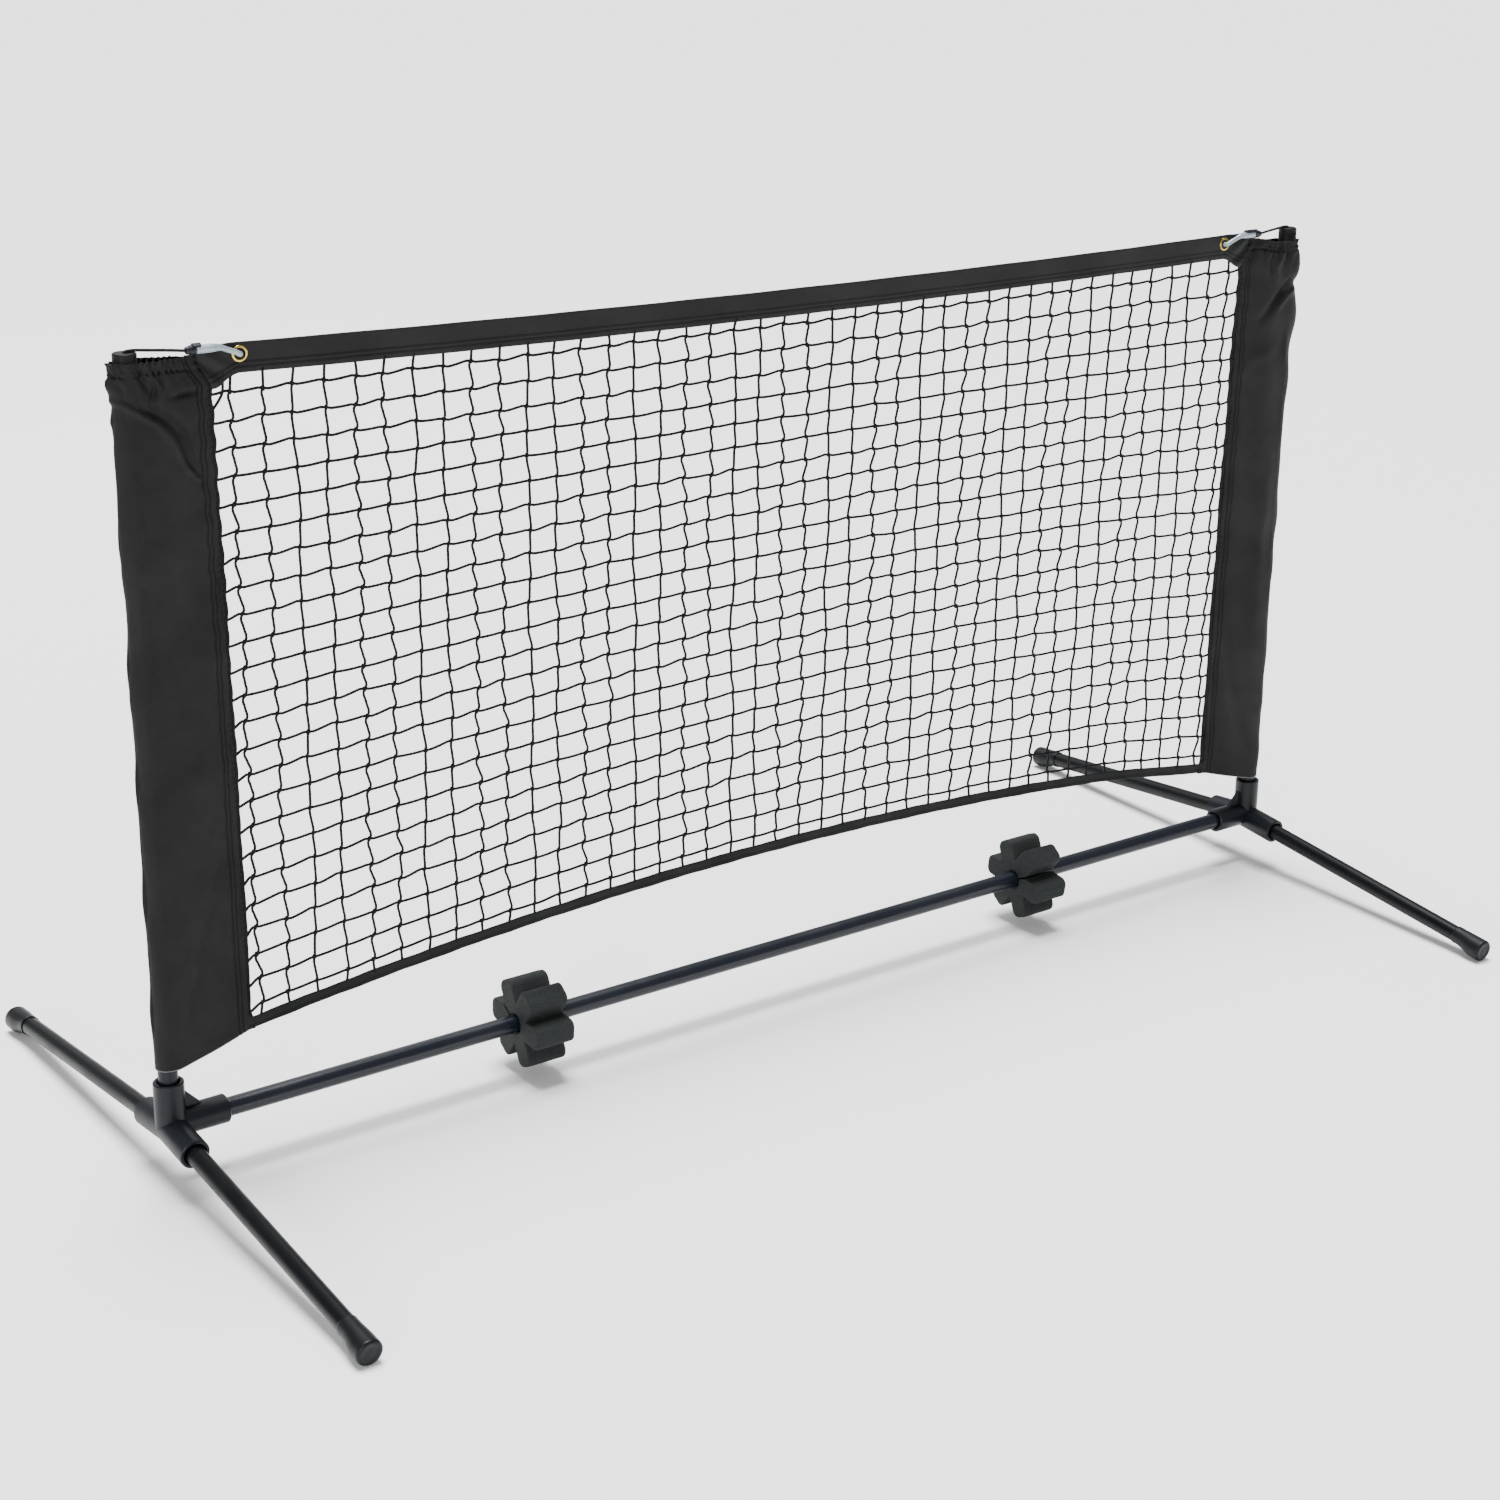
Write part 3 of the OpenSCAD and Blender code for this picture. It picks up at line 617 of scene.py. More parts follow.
# Long folds: a chain of (distance from the post axis, height), how far it stands out, its width
FOLDS = {
    "left": [([(-0.016, 0.808), (0.006, 0.794), (0.022, 0.784), (0.034, 0.770), (0.044, 0.752),
               (0.054, 0.735), (0.066, 0.722)], 0.0046, 0.0034),
             ([(0.012, 0.796), (0.026, 0.791), (0.040, 0.779), (0.050, 0.765), (0.056, 0.745),
               (0.068, 0.724)], -0.0080, 0.0070),
             ([(0.010, 0.830), (0.014, 0.816), (0.012, 0.804)], -0.0030, 0.0045),
             ([(0.018, 0.829), (0.024, 0.815), (0.020, 0.802)], -0.0034, 0.0022),
             ([(0.028, 0.832), (0.032, 0.822)], -0.0026, 0.0022),
             ([(0.040, 0.806), (0.066, 0.808)], -0.0036, 0.0032),
             ([(-0.002, 0.62), (0.012, 0.52), (0.008, 0.42)], -0.0012, 0.011),
             ([(0.066, 0.36), (0.044, 0.27), (0.016, 0.16)], -0.0018, 0.007),
             ([(0.070, 0.24), (0.056, 0.19)], 0.0010, 0.010)],
    "right": [([(-0.008, 0.784), (0.004, 0.779), (0.020, 0.763), (0.042, 0.741)], -0.0056, 0.0060),
              ([(-0.012, 0.774), (0.004, 0.768), (0.024, 0.750)], 0.0024, 0.0050),
              ([(0.006, 0.832), (0.009, 0.816)], -0.0030, 0.0022),
              ([(0.020, 0.834), (0.024, 0.812)], -0.0036, 0.0020),
              ([(0.030, 0.832), (0.036, 0.812), (0.034, 0.800)], -0.0026, 0.0030),
              ([(0.044, 0.834), (0.047, 0.822)], -0.0024, 0.0022),
              ([(0.016, 0.700), (0.050, 0.690), (0.070, 0.672)], 0.0010, 0.009),
              ([(0.010, 0.56), (0.024, 0.43), (0.020, 0.34)], 0.0012, 0.011),
              ([(0.070, 0.34), (0.050, 0.24), (0.020, 0.16)], -0.0014, 0.009)],
}
PANEL_COLUMNS, PANEL_ROWS, FRONT_SHARE = 200, 440, 0.40
LAYER_GAP, SLEEVE_SLACK, POST_CLEAR = 0.0013, 0.0024, 0.0016
PLEAT_PITCH, ELASTIC_PITCH = 0.0058, 0.011
# Seeds of the fine, long and upright ripples in each panel's cloth
RIPPLE_SEEDS = {"left": (3, 11, 21), "right": (8, 17, 27)}


def side_panel(side):
    """The sleeve as a grid: one parameter goes round it (front layer from the sewn edge out to
    the post, round the post, back layer in again), the other up it. The layers close from an arc
    round the post to the sewn edge; shirring, folds and slack push the cloth out along its
    normal. A second skin a cloth's thickness inside closes it."""
    s = SIDES[side]
    v = np.linspace(0, 1, PANEL_ROWS)
    U, V = np.meshgrid(np.linspace(0, 1, PANEL_COLUMNS), v + 0.35 * v * (1 - v))
    z_mid = PANEL_FOOT + (PANEL_TOP - PANEL_FOOT) * V
    seam, loose = inner_edge(z_mid, side) - 0.0035, outer_edge(z_mid, side)
    front, back = U <= FRONT_SHARE, U >= 1 - FRONT_SHARE
    t_front = np.clip(U / FRONT_SHARE, 0, 1)
    t_back = np.clip((U - 1 + FRONT_SHARE) / FRONT_SHARE, 0, 1)
    half_turn = np.clip((U - FRONT_SHARE) / (1 - 2 * FRONT_SHARE), 0, 1) * math.pi
    x_start = 0.002
    skins = []
    for inset in (0.0, CLOTH_T):
        half = tube_r + SLEEVE_SLACK - inset
        x = np.where(front, seam + (x_start - seam) * t_front,
                     np.where(back, x_start + (seam - x_start) * t_back,
                              x_start - (loose - inset + x_start) * np.sin(half_turn)))
        open_front = LAYER_GAP + (half - LAYER_GAP) * np.sin(t_front * math.pi / 2) ** 0.85
        open_back = LAYER_GAP + (half - LAYER_GAP) * np.cos(t_back * math.pi / 2) ** 0.85
        y = np.where(front, -open_front, np.where(back, open_back, -half * np.cos(half_turn)))
        slant = np.clip((x - 0.008) / (INNER - 0.008), 0, 1)
        z = z_mid + (HEM_LIFT[side] + (CORNER_LIFT[side] - HEM_LIFT[side]) * slant) * (1 - V)
        z = z - TOP_DROP[side] * smooth_step(V, 0.86, 1) * (1 - smooth_step(x, 0.022, 0.060))
        around = np.where(y < 0, seam - x, seam + x + 0.25)
        flat_top = 1 - 0.65 * smooth_step(x, 0.040, 0.052)
        pleats = 0.0018 * np.sin(around * 2 * math.pi / PLEAT_PITCH + 1.5 * np.sin(around * 90)) * flat_top
        shirred = smooth_step(z_mid, PANEL_TOP - 0.017, PANEL_TOP - 0.011)
        lip = hill(z_mid - PANEL_TOP + 0.012, 0.0016)
        drawn = 0.55 + 0.45 * np.cos((PANEL_TOP - z_mid) * 2 * math.pi / ELASTIC_PITCH)
        push = pleats * shirred * drawn - 0.0020 * lip
        fine, long, upright = RIPPLE_SEEDS[side]
        push += 0.0013 * ripples(around, fine, 6, 0.012, 0.030) * smooth_step(V, 0.90, 0.98) * flat_top
        push += 0.0010 * ripples(around + 0.06 * z, long, 4, 0.04, 0.09) * (0.35 + 0.65 * V)
        push += 0.0008 * ripples(z + 0.4 * around, upright, 5, 0.05, 0.16)
        for path, rise, width in FOLDS[side]:
            behind = 0.6 * fold(x, z + 0.02, path, 1.3 * width)
            push += rise * np.where(y < 0, fold(x, z, path, width), behind)
        push *= smooth_step(seam - x, 0.000, 0.008)
        for place in PANEL_ROWS_OF_STITCHES:
            push -= 0.0010 * hill(seam - x - place, 0.0010) * (front | back)
        round_part = ~(front | back)
        x = x - push * np.where(round_part, np.sin(half_turn), 0)
        way = np.where(round_part, -np.cos(half_turn), np.where(front, -1, 1))
        y = y + push * way
        post_clear = np.sqrt(np.maximum((tube_r + POST_CLEAR - inset * 0.9) ** 2 - x ** 2, 0))
        least = np.maximum(0.0007 + (CLOTH_T - inset), post_clear)
        y = np.where(front, np.minimum(y, -least), np.where(back, np.maximum(y, least), y))
        grow = np.where(round_part, np.maximum((tube_r + POST_CLEAR - inset * 0.9) / np.hypot(x, y), 1), 1)
        x, y = x * grow, y * grow
        z = z - 0.0010 * shirred * np.abs(np.sin(around * math.pi / PLEAT_PITCH)) * flat_top * V ** 8
        z = z - 0.0035 * smooth_step(V, 0.93, 1) * smooth_step(x, 0.030, 0.080)
        skins.append(np.stack([s * (post_x - x), y, z], -1).reshape(-1, 3))
    count = PANEL_ROWS * PANEL_COLUMNS
    skin = grid_faces(PANEL_ROWS, PANEL_COLUMNS)
    i, j = np.arange(PANEL_COLUMNS - 1), np.arange(PANEL_ROWS - 1) * PANEL_COLUMNS
    top, last = (PANEL_ROWS - 1) * PANEL_COLUMNS, j + PANEL_COLUMNS - 1
    rims = [np.stack([i, i + count, i + 1 + count, i + 1], -1),
            np.stack([top + i, top + i + 1, top + i + 1 + count, top + i + count], -1),
            np.stack([j, j + PANEL_COLUMNS, j + PANEL_COLUMNS + count, j + count], -1),
            np.stack([last, last + count, last + PANEL_COLUMNS + count, last + PANEL_COLUMNS], -1)]
    faces = np.concatenate([skin, skin[:, ::-1] + count] + rims)
    piece = link_mesh(f"{side}_panel", np.concatenate(skins), list(faces if s > 0 else faces[:, ::-1]))
    across = -np.where(U < 0.5, U, 1 - U) / FRONT_SHARE * seam
    set_uv(piece, np.tile(across.ravel(), 2), np.tile(z_mid.ravel(), 2))
    dress(piece, panel_cloth, "net_frame")
    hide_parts(f"{side}_side_panel", f"{side}_hem_elastic")
    return piece


panels = {side: side_panel(side) for side in SIDES}


# ----------------------------------------
# Bindings: a tape folded over each panel's inner edge and the side of the net, stitched down
# both sides. It puckers at the stitches.
# ----------------------------------------
binding_cloth = stitched_cloth("binding_tape", (0.0025, 0.0025, 0.0028), (0.009, 0.009, 0.0095), 0.60,
                               11000.0, [(0, 0.0014), (0, 0.0064)])
BINDING_HALF, BINDING_HALF_T, BAND_STEPS = 0.0042, 0.0017, 24


def strip_profile(steps):
    """Section of a thin band as (across, depth, bulge): across and depth run from -1 to 1 round
    a rectangle, and bulge is how far the two short sides are rounded out."""
    flat, bend = np.linspace(-1, 1, steps), np.linspace(-math.pi / 2, math.pi / 2, 7)[1:-1]
    across = np.concatenate([flat, np.ones(5), flat[::-1], -np.ones(5)])
    depth = np.concatenate([-np.ones(steps), np.sin(bend), np.ones(steps), np.sin(bend)[::-1]])
    bulge = np.concatenate([np.zeros(steps), np.cos(bend), np.zeros(steps), -np.cos(bend)])
    return across[None], depth[None], bulge[None]


def closed_strip(name, points, u, v, flip):
    """A band from a grid of sections, with both ends closed by one face."""
    rows, columns = points.shape[:2]
    faces = list(grid_faces(rows, columns, close_columns=True))
    faces += [list(range(columns))[::-1], list(range((rows - 1) * columns, rows * columns))]
    piece = link_mesh(name, points.reshape(-1, 3), [f[::-1] for f in faces] if flip else faces)
    set_uv(piece, u.ravel(), v.ravel())
    return piece


for side, s in SIDES.items():
    foot = binding_low.z + (0.0025 if side == "left" else -0.0025)
    z = np.linspace(foot, binding_high.z - 0.001, 460)[:, None]
    across, depth, bulge = strip_profile(BAND_STEPS)
    seams = hill(across + 0.67, 0.16) + hill(across - 0.52, 0.16)
    pucker = (-0.0006 * seams + 0.00028 * np.sin(z * 2 * math.pi / (2 * STITCH_PITCH)) * (1 - across ** 2)
              + 0.0002 * ripples(z, 31, 4, 0.02, 0.05))
    sway = 0.0008 * np.sin(z * 37 + 1) + 0.0008 * np.sin(z * 800) * hill(z - PANEL_TOP, 0.02)
    kick = 0.0030 * hill(z - foot, 0.016) - 0.0012 * hill(z - foot - 0.022, 0.008)
    reach = inner_edge(z, side) - BINDING_HALF + BINDING_HALF * across + 0.0012 * bulge + kick
    points = np.stack([s * (post_x - reach), depth * (BINDING_HALF_T + pucker) + sway, z + 0 * across], -1)
    u, v = BINDING_HALF * (across + 1) + 0 * z, z + 0 * across
    binding = closed_strip(f"{side}_binding", points, u, v, s > 0)
    dress(binding, binding_cloth, "net_frame")
    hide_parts(f"{side}_panel_binding")

# ----------------------------------------
# Top tape: a strip of coated polyester folded over the net's head cord and stitched twice. Its
# ends spread downwards and are bunched where they are sewn on a slant over the panels' corners.
# ----------------------------------------
tape_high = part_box("top_tape")[1]
hem_low, hem_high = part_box("bottom_tape")
NET_X, TAPE_SAG, TAPE_TALL, HEM_TALL = tape_high.x, 0.008, 0.027, 0.0105
HEM_RISE = hem_high.z - hem_low.z - HEM_TALL
tape_cloth = stitched_cloth("tape_cloth", (0.0055, 0.0055, 0.006), (0.016, 0.016, 0.0165), 0.54, 8000.0,
                            [(1, 0.0042), (1, 0.0088)])


def bow(x):
    """1 in the middle of the net and 0 at the panels, by a parabola."""
    return 1 - (x / NET_X) ** 2


def tape_edge(x):
    """Height of the top tape's lower edge."""
    return tape_high.z - TAPE_TALL - TAPE_SAG * bow(x)


def hem_edge(x):
    """Height of the bottom tape's upper edge."""
    return hem_low.z + HEM_TALL + HEM_RISE * bow(x) - 0.005 * smooth_step(x, NET_X - 0.20, NET_X)


def band(name, low, high, half_t, skew, sway, material, node):
    """A band along the net between two edges: its section is the thin round-edged rectangle, skew
    draws the ends out towards the posts at the upper edge, and sway moves it back and forth."""
    across, depth, bulge = strip_profile(BAND_STEPS)
    share = (across + 1) / 2
    x = run[:, None] + skew[:, None] * share ** 0.8
    z = low[:, None] + (high - low)[:, None] * share + bulge * half_t[:, None]
    points = np.stack([x, depth * half_t[:, None] + sway(x, across), z], -1)
    piece = closed_strip(name, points, x, share * (high - low)[:, None], False)
    dress(piece, material, "net_frame")
    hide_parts(node)


# Places along a band: close together near its sewn ends, where it creases
SEWN_OVER, END_RUN = 0.0035, 0.045
run = np.concatenate([np.linspace(-NET_X - SEWN_OVER, -NET_X + END_RUN, 120, endpoint=False),
                      np.linspace(-NET_X + END_RUN, NET_X - END_RUN, 460, endpoint=False),
                      np.linspace(NET_X - END_RUN, NET_X + SEWN_OVER, 120)])
from_end = NET_X + SEWN_OVER - np.abs(run)
spread = 1 - smooth_step(from_end, 0.0, 0.030)


def tape_sway(x, across):
    """Long soft waves along the tape, and tight creases that fan out from its sewn ends."""
    left = NET_X + 0.012 - np.abs(x)
    creases = 0.0016 * np.sin(across * 5.5 + left * 260) * hill(left, 0.022)
    return 0.0006 * np.sin(x * 46 + 1.1 * across) + creases


band("top_tape_cloth", tape_edge(run) - 0.012 * spread, tape_edge(run) + TAPE_TALL - 0.0030 * spread ** 2,
     0.0015 + 0.0011 * (1 - smooth_step(from_end, 0.006, 0.018)),
     np.sign(run) * SEAM_SLANT * (1 - smooth_step(from_end, 0.0, 0.022)), tape_sway, tape_cloth,
     "top_tape")

# ----------------------------------------
# Bottom tape: a narrow folded tape sewn over the net's lowest cord, pulled up in an arch.
# ----------------------------------------
hem_cloth = stitched_cloth("hem_cloth", (0.0035, 0.004, 0.004), (0.011, 0.012, 0.012), 0.58, 9000.0,
                           [(1, 0.0025)])
band("bottom_tape_cloth", hem_edge(run) - HEM_TALL,
     hem_edge(run) + 0.006 * (1 - smooth_step(from_end, 0.002, 0.012)),
     0.0012 + 0.0007 * (1 - smooth_step(from_end, 0.002, 0.010)), 0 * run,
     lambda x, across: 0.0005 * np.sin(x * 70 + across) + 0.0003 * np.sin(x * 173), hem_cloth,
     "bottom_tape")

# ----------------------------------------
# Mesh: knotted black twine. Strands run up and down from tape to tape and across from panel to
# panel; each crossing is a knot that tugs the twine out of line, so the uprights wander in
# shallow S curves and the rows step at each knot.
# ----------------------------------------
def cord_finish(name, pitches, turns, dark, light, shine, relief):
    """Twisted or braided cord: one or two sets of plies wind round the strand, each a sine of the
    length walked times its pitch plus the place round the strand times turns."""
    material, tree, bsdf = shader(name, Specular_IOR_Level=shine)
    split = tree.nodes.new("ShaderNodeSeparateXYZ")
    tree.links.new(tree.nodes.new("ShaderNodeTexCoord").outputs["UV"], split.inputs[0])
    waves = [math_node(tree, "SINE", math_node(tree, "MULTIPLY_ADD", split.outputs[0], pitch,
                                               math_node(tree, "MULTIPLY", split.outputs[1], turns)))
             for pitch in pitches]
    plies = math_node(tree, "MULTIPLY_ADD", math_node(tree, "MAXIMUM", waves[0], waves[-1]), 0.5, 0.5)
    tree.links.new(two_colours(tree, plies, dark, light), bsdf.inputs["Base Color"])
    fuzz = use_group(tree, grain, Position=object_position(tree), Scale=900.0)
    tree.links.new(ramp_node(tree, fuzz.outputs["Height"], 0.3, 0.7, 0.5, 0.68), bsdf.inputs["Roughness"])
    bump(tree, bsdf, plies, relief, 0.0003)
    return material


twine = cord_finish("net_twine", (1500.0,), 12.566, (0.002, 0.002, 0.002), (0.0045, 0.0045, 0.0048), 0.12, 0.4)
COLUMNS, ROWS, ALONG_UPRIGHT, ALONG_ROW, STRAND_SIDES = 42, 24, 8, 6, 8
UPRIGHT_R, ROW_R, KNOT_R, TOP_ROW, BOTTOM_GAP, END_GAP = 0.00145, 0.00150, 0.0026, 0.0105, 0.0125, 0.016
UPRIGHT_SWAY, ROW_KINK, FAINT_KINK, ROW_DROOP = 0.0019, 0.0009, 0.0003, 0.0006
rng = np.random.default_rng(5)
column, row = np.arange(COLUMNS)[None, :], np.arange(ROWS)[:, None]
column_x = np.linspace(-NET_X + END_GAP, NET_X - END_GAP, COLUMNS)
lean = np.array([1.0, 0.85, 0.30, 0.45])[column % 4] * np.where(column < COLUMNS / 2, -1, 1)


def row_z(r, x):
    """Height of row r at x: the top row is straight, and lower rows follow the arch more and more."""
    top, bottom = tape_edge(0) - TOP_ROW, hem_edge(x) + BOTTOM_GAP
    return top + (bottom - top) * r / (ROWS - 1)


knot_x = column_x[None, :] + 0.0014 * np.sin(2 * math.pi * (row / 7.0 + column / 3.1))
knot_x = knot_x + rng.normal(0, 0.0007, knot_x.shape)
stagger = 0.0006 * np.where((row + column) % 2 == 0, 1, -1) * np.where(row % 6 < 3, 1, 0.3)
knot_z = row_z(row, column_x[None, :]) + stagger
knot_z = knot_z + rng.normal(0, 0.0005, knot_z.shape)
knot_y = rng.normal(0, 0.0004, knot_x.shape)


def through(values, per_step):
    """Points on a smooth curve through the given ones, by a Catmull-Rom spline with per_step
    places between each pair."""
    p = np.concatenate([2 * values[:1] - values[1:2], values, 2 * values[-1:] - values[-2:-1]])
    t = np.linspace(0, 1, per_step, endpoint=False)[None, :, None]
    a, b, c, d = (p[k:len(p) - 3 + k][:, None, :] for k in range(4))
    curve = 0.5 * (2 * b + (c - a) * t + (2 * a - 5 * b + 4 * c - d) * t ** 2
                   + (3 * b - a - 3 * c + d) * t ** 3)
    return np.concatenate([curve.reshape(-1, 3), values[-1:]])


def tube_rings(path, radius, sides, up):
    """A ring of points at every place of a path, square to it; up is any way the path never takes."""
    step = np.gradient(path, axis=0)
    step /= np.linalg.norm(step, axis=1, keepdims=True)
    across = np.cross(step, up)
    across /= np.linalg.norm(across, axis=1, keepdims=True)
    other = np.cross(step, across)
    turn = np.linspace(0, 2 * math.pi, sides, endpoint=False)
    ring = across[:, None] * np.cos(turn)[None, :, None] + other[:, None] * np.sin(turn)[None, :, None]
    return path[:, None] + np.broadcast_to(radius, len(path))[:, None, None] * ring


def strands(name, paths, radius, sides, up, body, material):
    """One piece of one or more round strands, each closed by a face at both ends; radius is a
    number, or one for each place of the path."""
    points, faces, us, vs, first = [], [], [], [], 0
    for path in paths:
        points.append(tube_rings(path, radius, sides, up).reshape(-1, 3))
        last = first + (len(path) - 1) * sides
        faces += list(grid_faces(len(path), sides, close_columns=True) + first)
        faces += [list(range(first, first + sides))[::-1], list(range(last, last + sides))]
        walked = np.concatenate([[0], np.cumsum(np.linalg.norm(np.diff(path, axis=0), axis=1))])
        us.append(np.repeat(walked, sides))
        vs.append(np.tile(np.arange(sides) / sides, len(path)))
        first += len(path) * sides
    piece = link_mesh(name, np.concatenate(points), faces)
    set_uv(piece, np.concatenate(us), np.concatenate(vs))
    return dress(piece, material, body)


def s_curve(count, per_step):
    """The offset of an upright along its run: out one way after each knot and back the other
    way before the next, steeper near the knots."""
    t = np.arange(count) % per_step / per_step
    return np.sin(2 * math.pi * t) + 0.3 * np.sin(4 * math.pi * t)


uprights, rows_across = [], []
for c in range(COLUMNS):
    x = column_x[c]
    ends = [(x + 0.001, 0, tape_edge(x) + 0.002), (x, 0, hem_edge(x) - 0.002)]
    stops = np.array(ends[:1] + list(zip(knot_x[:, c], knot_y[:, c], knot_z[:, c])) + ends[1:])
    path = through(stops, ALONG_UPRIGHT)
    inner = slice(ALONG_UPRIGHT, -ALONG_UPRIGHT)
    path[inner, 0] += UPRIGHT_SWAY * lean[0, c] * s_curve(len(path), ALONG_UPRIGHT)[inner]
    uprights.append(path)
for r in range(ROWS):
    z = float(row_z(r, NET_X))
    ends = [(s * (post_x - float(inner_edge(z, side)) + 0.001), 0, z) for side, s in SIDES.items()]
    stops = np.array(ends[:1] + list(zip(knot_x[r], knot_y[r] + 0.0006, knot_z[r])) + ends[1:])
    path = through(stops, ALONG_ROW)
    kink = ROW_KINK if r % 6 < 3 else FAINT_KINK
    droop = ROW_DROOP * np.abs(np.sin(np.arange(len(path)) * math.pi / ALONG_ROW))
    path[:, 2] -= kink * s_curve(len(path), ALONG_ROW) + droop
    rows_across.append(path)
# One more strand crosses the top left corner, where the mesh is tied to the slanted seam
corner_x, corner_z = -NET_X, float(row_z(0, -NET_X))
uprights.append(through(np.array([(corner_x + 0.0085, 0, tape_edge(corner_x) + 0.001),
                                  (corner_x + 0.0080, 0.0004, corner_z + 0.001),
                                  (corner_x + 0.0035, 0.0002, corner_z - 0.008),
                                  (corner_x - 0.0030, 0, corner_z - 0.016)]), ALONG_UPRIGHT))
strands("net_uprights", uprights, UPRIGHT_R, STRAND_SIDES, (0, 1, 0), "net_frame", twine)
net_rows = strands("net_rows", rows_across, ROW_R, STRAND_SIDES, (0, 1, 0), "net_frame", twine)
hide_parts("net_mesh")


def knots():
    """A lumpy ball of twine at every crossing: rings of 8 points between two poles, taller than
    it is wide, grooved where the strands cross and turned by a random angle."""
    turn, climb = np.meshgrid(np.arange(8) * math.pi / 4, np.linspace(0, math.pi, 6)[1:-1])
    ball = np.stack([np.sin(climb) * np.cos(turn), np.sin(climb) * np.sin(turn), np.cos(climb)], -1)
    ball = np.concatenate([[(0, 0, 1)], ball.reshape(-1, 3), [(0, 0, -1)]])
    ball = ball * (1 + 0.16 * np.sin(5 * ball[:, 0:1] + 4 * ball[:, 2:3]))
    k = np.arange(8)
    poles = [np.stack([0 * k, 1 + k, 1 + (k + 1) % 8], -1),
             np.stack([0 * k + 33, 25 + (k + 1) % 8, 25 + k], -1)]
    belt = grid_faces(4, 8, close_columns=True)[:, ::-1] + 1
    spin, size = rng.uniform(-0.5, 0.5, knot_x.size)[:, None], rng.uniform(0.88, 1.12, (knot_x.size, 1, 1))
    shaped = ball[None] * KNOT_R * size * np.array([0.92, 0.75, 1.12])
    turned = np.stack([shaped[..., 0] * np.cos(spin) - shaped[..., 2] * np.sin(spin), shaped[..., 1],
                       shaped[..., 0] * np.sin(spin) + shaped[..., 2] * np.cos(spin)], -1)
    centres = np.stack([knot_x, knot_y + 0.0003, knot_z], -1).reshape(-1, 1, 3)
    shift = (np.arange(knot_x.size) * len(ball))[:, None, None]
    faces = []
    for part in (*poles, belt):
        faces += list((part[None] + shift).reshape(-1, part.shape[1]))
    piece = link_mesh("net_knots", (turned + centres).reshape(-1, 3), faces)
    set_uv(piece, np.tile(ball[:, 2] * 0.003, knot_x.size), np.tile(ball[:, 0] * 0.5, knot_x.size))
    dress(piece, twine, "net_frame")


knots()

# ----------------------------------------
# Eyelets: a rolled brass ring set through the top tape near each end, closed by a washer at the
# back. The brass is lightly tarnished in its hollows.
# ----------------------------------------
def metal(name, metallic, patch, span, colours, rough, fine, relief):
    """Bare or plated metal: soft patches of noise blend two colours and two roughnesses, and a
    fine noise gives the bump. patch and fine are a noise's scale, detail and roughness."""
    material, tree, bsdf = shader(name, Metallic=metallic)
    position = object_position(tree)
    clouds = ramp_node(tree, noise_node(tree, position, *patch), *span)
    tree.links.new(two_colours(tree, clouds, *colours), bsdf.inputs["Base Color"])
    tree.links.new(ramp_node(tree, clouds, 0, 1, *rough), bsdf.inputs["Roughness"])
    bump(tree, bsdf, noise_node(tree, position, *fine), relief, 0.0001)
    return material


brass = metal("eyelet_brass", 1.0, (260.0, 4.0, 0.6), (0.42, 0.66), ((0.58, 0.42, 0.11), (0.30, 0.21, 0.05)),
              (0.20, 0.40), (1800.0, 2.0), 0.15)

for side in SIDES:
    low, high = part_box(f"{side}_eyelet")
    centre = ((low.x + high.x) / 2, 0, (low.z + high.z) / 2)
    outer_r, hole_r, face = (high.x - low.x) / 2 - 0.0007, 0.0056, 0.0015
    profile = [(hole_r + 0.0008, face), (hole_r + 0.0008, -face - 0.0011), (hole_r, -face - 0.0011)]
    profile += arc(hole_r + 0.0009, face + 0.0003, 0.0009, 180, 80, 7)
    profile += arc(outer_r - 0.0006, face + 0.0002, 0.0006, 80, 0, 6) + [(outer_r - 0.0002, face)]
    ring = lathe(f"{side}_eyelet_ring", profile, centre, (0, -1, 0), 64, brass, "net_frame")
    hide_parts(f"{side}_eyelet")
    profile = [(hole_r + 0.00095, face), (hole_r + 0.00095, face + 0.0008)]
    profile += arc(outer_r - 0.0004, face + 0.0004, 0.0004, 90, -90, 6)
    washer = lathe(f"{side}_eyelet_back", profile, centre, (0, 1, 0), 64, brass, "net_frame")
    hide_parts(f"{side}_eyelet_washer")

# ----------------------------------------
# Tension cords: braided elastic, knotted under each post cap, that comes up through its hole,
# lies over and runs to the clip.
# ----------------------------------------
braid = cord_finish("elastic", (4200.0, -4200.0), 12 * math.pi, (0.0025, 0.0025, 0.0025),
                    (0.010, 0.010, 0.0105), 0.15, 0.8)

clip_low, clip_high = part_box("right_cord_clip")
hook_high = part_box("right_hook")[1]
cap_top, cord_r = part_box("right_post_cap")[1].z, 0.0015
line_y, line_z = (clip_low.y + clip_high.y) / 2, (clip_low.z + clip_high.z) / 2
eyelet_x, eyelet_z = ((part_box("right_eyelet")[0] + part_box("right_eyelet")[1]) / 2).xz


def mirrored(path, s):
    """A right-hand path, or its mirror image for the left side."""
    return np.array(path, float) * (s, 1, 1)


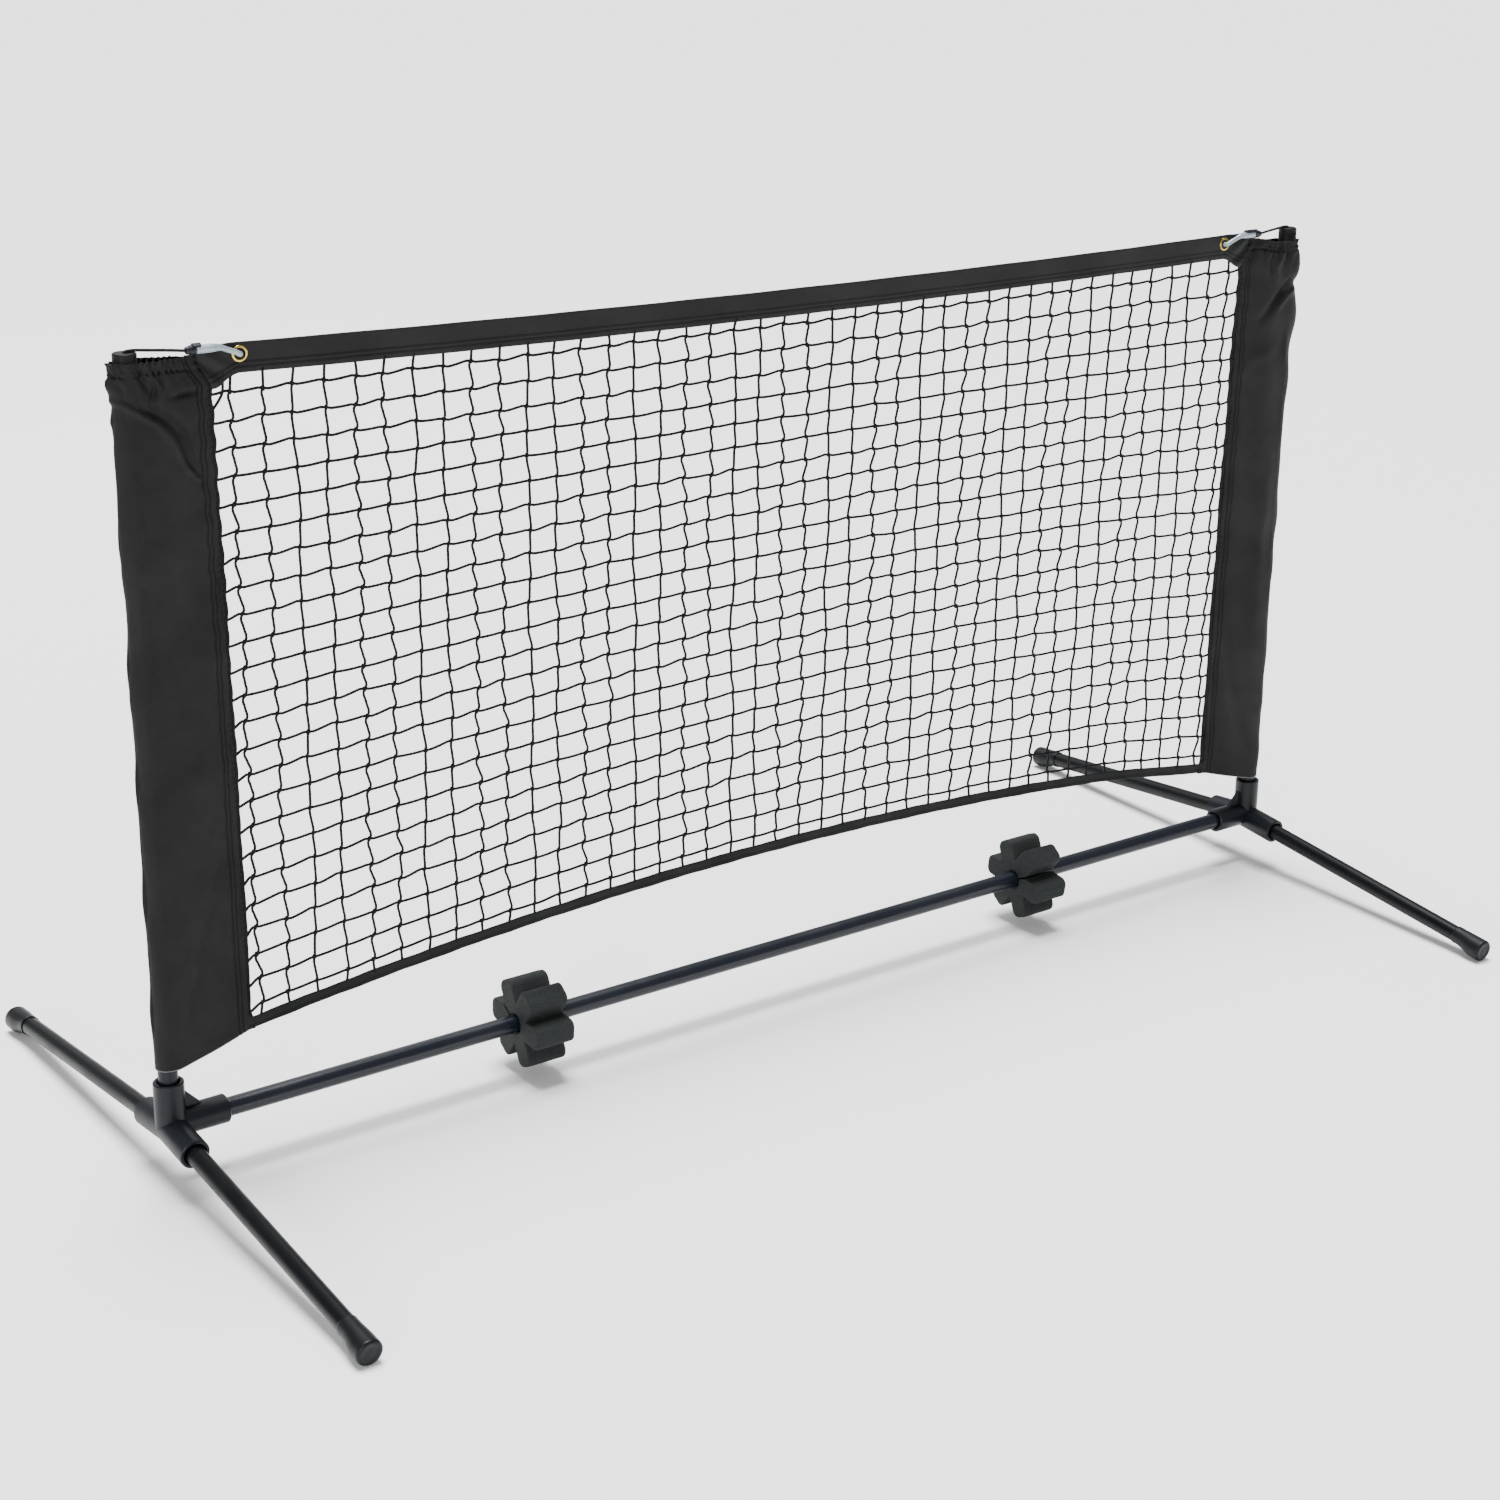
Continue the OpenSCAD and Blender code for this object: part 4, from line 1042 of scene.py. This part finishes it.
for side, s in SIDES.items():
    over = cap_top + cord_r
    stops = [(post_x, 0, cap_top - 0.012), (post_x, 0, cap_top - 0.004), (post_x - 0.0001, 0, cap_top),
             (post_x - 0.0016, -0.0003, over - 0.0004), (post_x - 0.0050, -0.0007, over),
             (post_x - 0.0105, 0.19 * line_y, over), (post_x - 0.020, 0.36 * line_y, over - 0.0008),
             (post_x - 0.040, 0.72 * line_y, over - 0.0025),
             (clip_high.x + 0.001, line_y, line_z + 0.0002), (clip_high.x - 0.004, line_y, line_z)]
    cord = strands(f"{side}_elastic_cord", [through(mirrored(stops, s), 12)], cord_r, 16, (0, 1, 0),
                   f"{side}_hook_line", braid)
    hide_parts(f"{side}_tension_cord")

# ----------------------------------------
# Clips: a moulded clip pressed on the cord's end, dark blue-black, with a tongue that lies on the
# hook's barrel; the right one's tongue is the longer.
# ----------------------------------------
clip_plastic = coated("clip_plastic", (0.003, 0.0035, 0.009), (0.03, 0.035, 0.05), 0.33, 1200, 0.00008)
BARREL_R, TONGUE_LENGTH = 0.00425, {"left": 0.0050, "right": 0.0170}


def clip_tongue(side):
    """A strip bent to the barrel's crown: a grid along the barrel and round its upper third, with
    a thickness that tapers to its end; a second skin below closes it."""
    s, steps, turns = SIDES[side], 24, 13
    along, turn = np.meshgrid(np.linspace(-0.003, TONGUE_LENGTH[side], steps),
                              np.linspace(-0.9, 0.9, turns), indexing="ij")
    round_end = np.sqrt(np.clip(1 - (np.clip(along / TONGUE_LENGTH[side] - 0.75, 0, 1) / 0.26) ** 2, 0.05, 1))
    skins = []
    for radius in (BARREL_R + 0.0016, BARREL_R - 0.0003):
        bend = turn * round_end
        top = radius + 0.0004 * (turn ** 2 < 0.05)
        skins.append(np.stack([s * (clip_low.x - along), line_y + top * np.sin(bend),
                               line_z + top * np.cos(bend)], -1))
    loops = np.concatenate([skins[0], skins[1][:, ::-1]], 1)
    faces = list(grid_faces(steps, 2 * turns, close_columns=True))
    faces += [list(range(2 * turns))[::-1], list(range((steps - 1) * 2 * turns, steps * 2 * turns))]
    piece = link_mesh(f"{side}_clip_tongue", loops.reshape(-1, 3),
                      faces if s > 0 else [f[::-1] for f in faces])
    dress(piece, clip_plastic, f"{side}_hook_line")


for side, s in SIDES.items():
    clip_r, length = (clip_high.z - clip_low.z) / 2, clip_high.x - clip_low.x
    profile = [(0.0012, 0.0004), (0.0012, length - 0.0006)]
    profile += arc(0.0026, length - 0.0010, 0.0010, 90, 20, 5) + [(0.0040, length - 0.0032)]
    profile += arc(clip_r - 0.0008, length - 0.0044, 0.0008, 90, 0, 5) + [(clip_r - 0.0003, 0.0030)]
    profile += arc(clip_r - 0.0006, 0.0016, 0.0006, 70, -70, 6) + [(clip_r - 0.0010, 0.0002)]
    clip = lathe(f"{side}_clip_moulding", profile, (s * clip_low.x, line_y, line_z), (s, 0, 0), 40,
                 clip_plastic, f"{side}_hook_line")
    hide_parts(f"{side}_cord_clip")
    clip_tongue(side)

# ----------------------------------------
# Hooks: a round bar of plated steel bent to a hook, swollen to a barrel where the clip grips it.
# The tip falls in front of the tape and goes back through the eyelet.
# ----------------------------------------
hook_steel = metal("hook_steel", 0.2, (70.0, 2.0, 0.5), (0.35, 0.7), ((0.24, 0.29, 0.32), (0.31, 0.36, 0.39)),
                   (0.26, 0.40), (1400.0, 3.0), 0.12)

for side, s in SIDES.items():
    tip_r, back_y = 0.0027, hook_high.y - 0.0004
    front_x = clip_low.x
    stops = [(front_x, line_y, line_z), (front_x - 0.008, line_y, line_z), (front_x - 0.016, line_y, line_z),
             (front_x - 0.024, line_y, line_z - 0.0004), (front_x - 0.032, line_y, line_z - 0.0034),
             (eyelet_x + 0.0070, line_y + 0.0002, eyelet_z + 0.0034),
             (eyelet_x + 0.0018, line_y + 0.0010, eyelet_z + 0.0006),
             (eyelet_x, line_y + 0.0042, eyelet_z), (eyelet_x, 0.0, eyelet_z), (eyelet_x, back_y, eyelet_z)]
    path = through(mirrored(stops, s), 10)
    walked = np.concatenate([[0], np.cumsum(np.linalg.norm(np.diff(path, axis=0), axis=1))])
    shape = tip_r + (BARREL_R - tip_r) * (1 - smooth_step(walked, 0.012, 0.032))
    dome = np.sqrt(np.maximum(1 - (1 - np.clip(walked / 0.0018, 0, 1)) ** 2, 0.04))
    point = np.sqrt(np.maximum(1 - (1 - np.clip((walked[-1] - walked) / tip_r, 0, 1)) ** 2, 0.02))
    hook = strands(f"{side}_hook_bar", [path], shape * dome * point, 28, (0, 0.5, 1.0), f"{side}_hook_line",
                   hook_steel)
    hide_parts(f"{side}_hook")
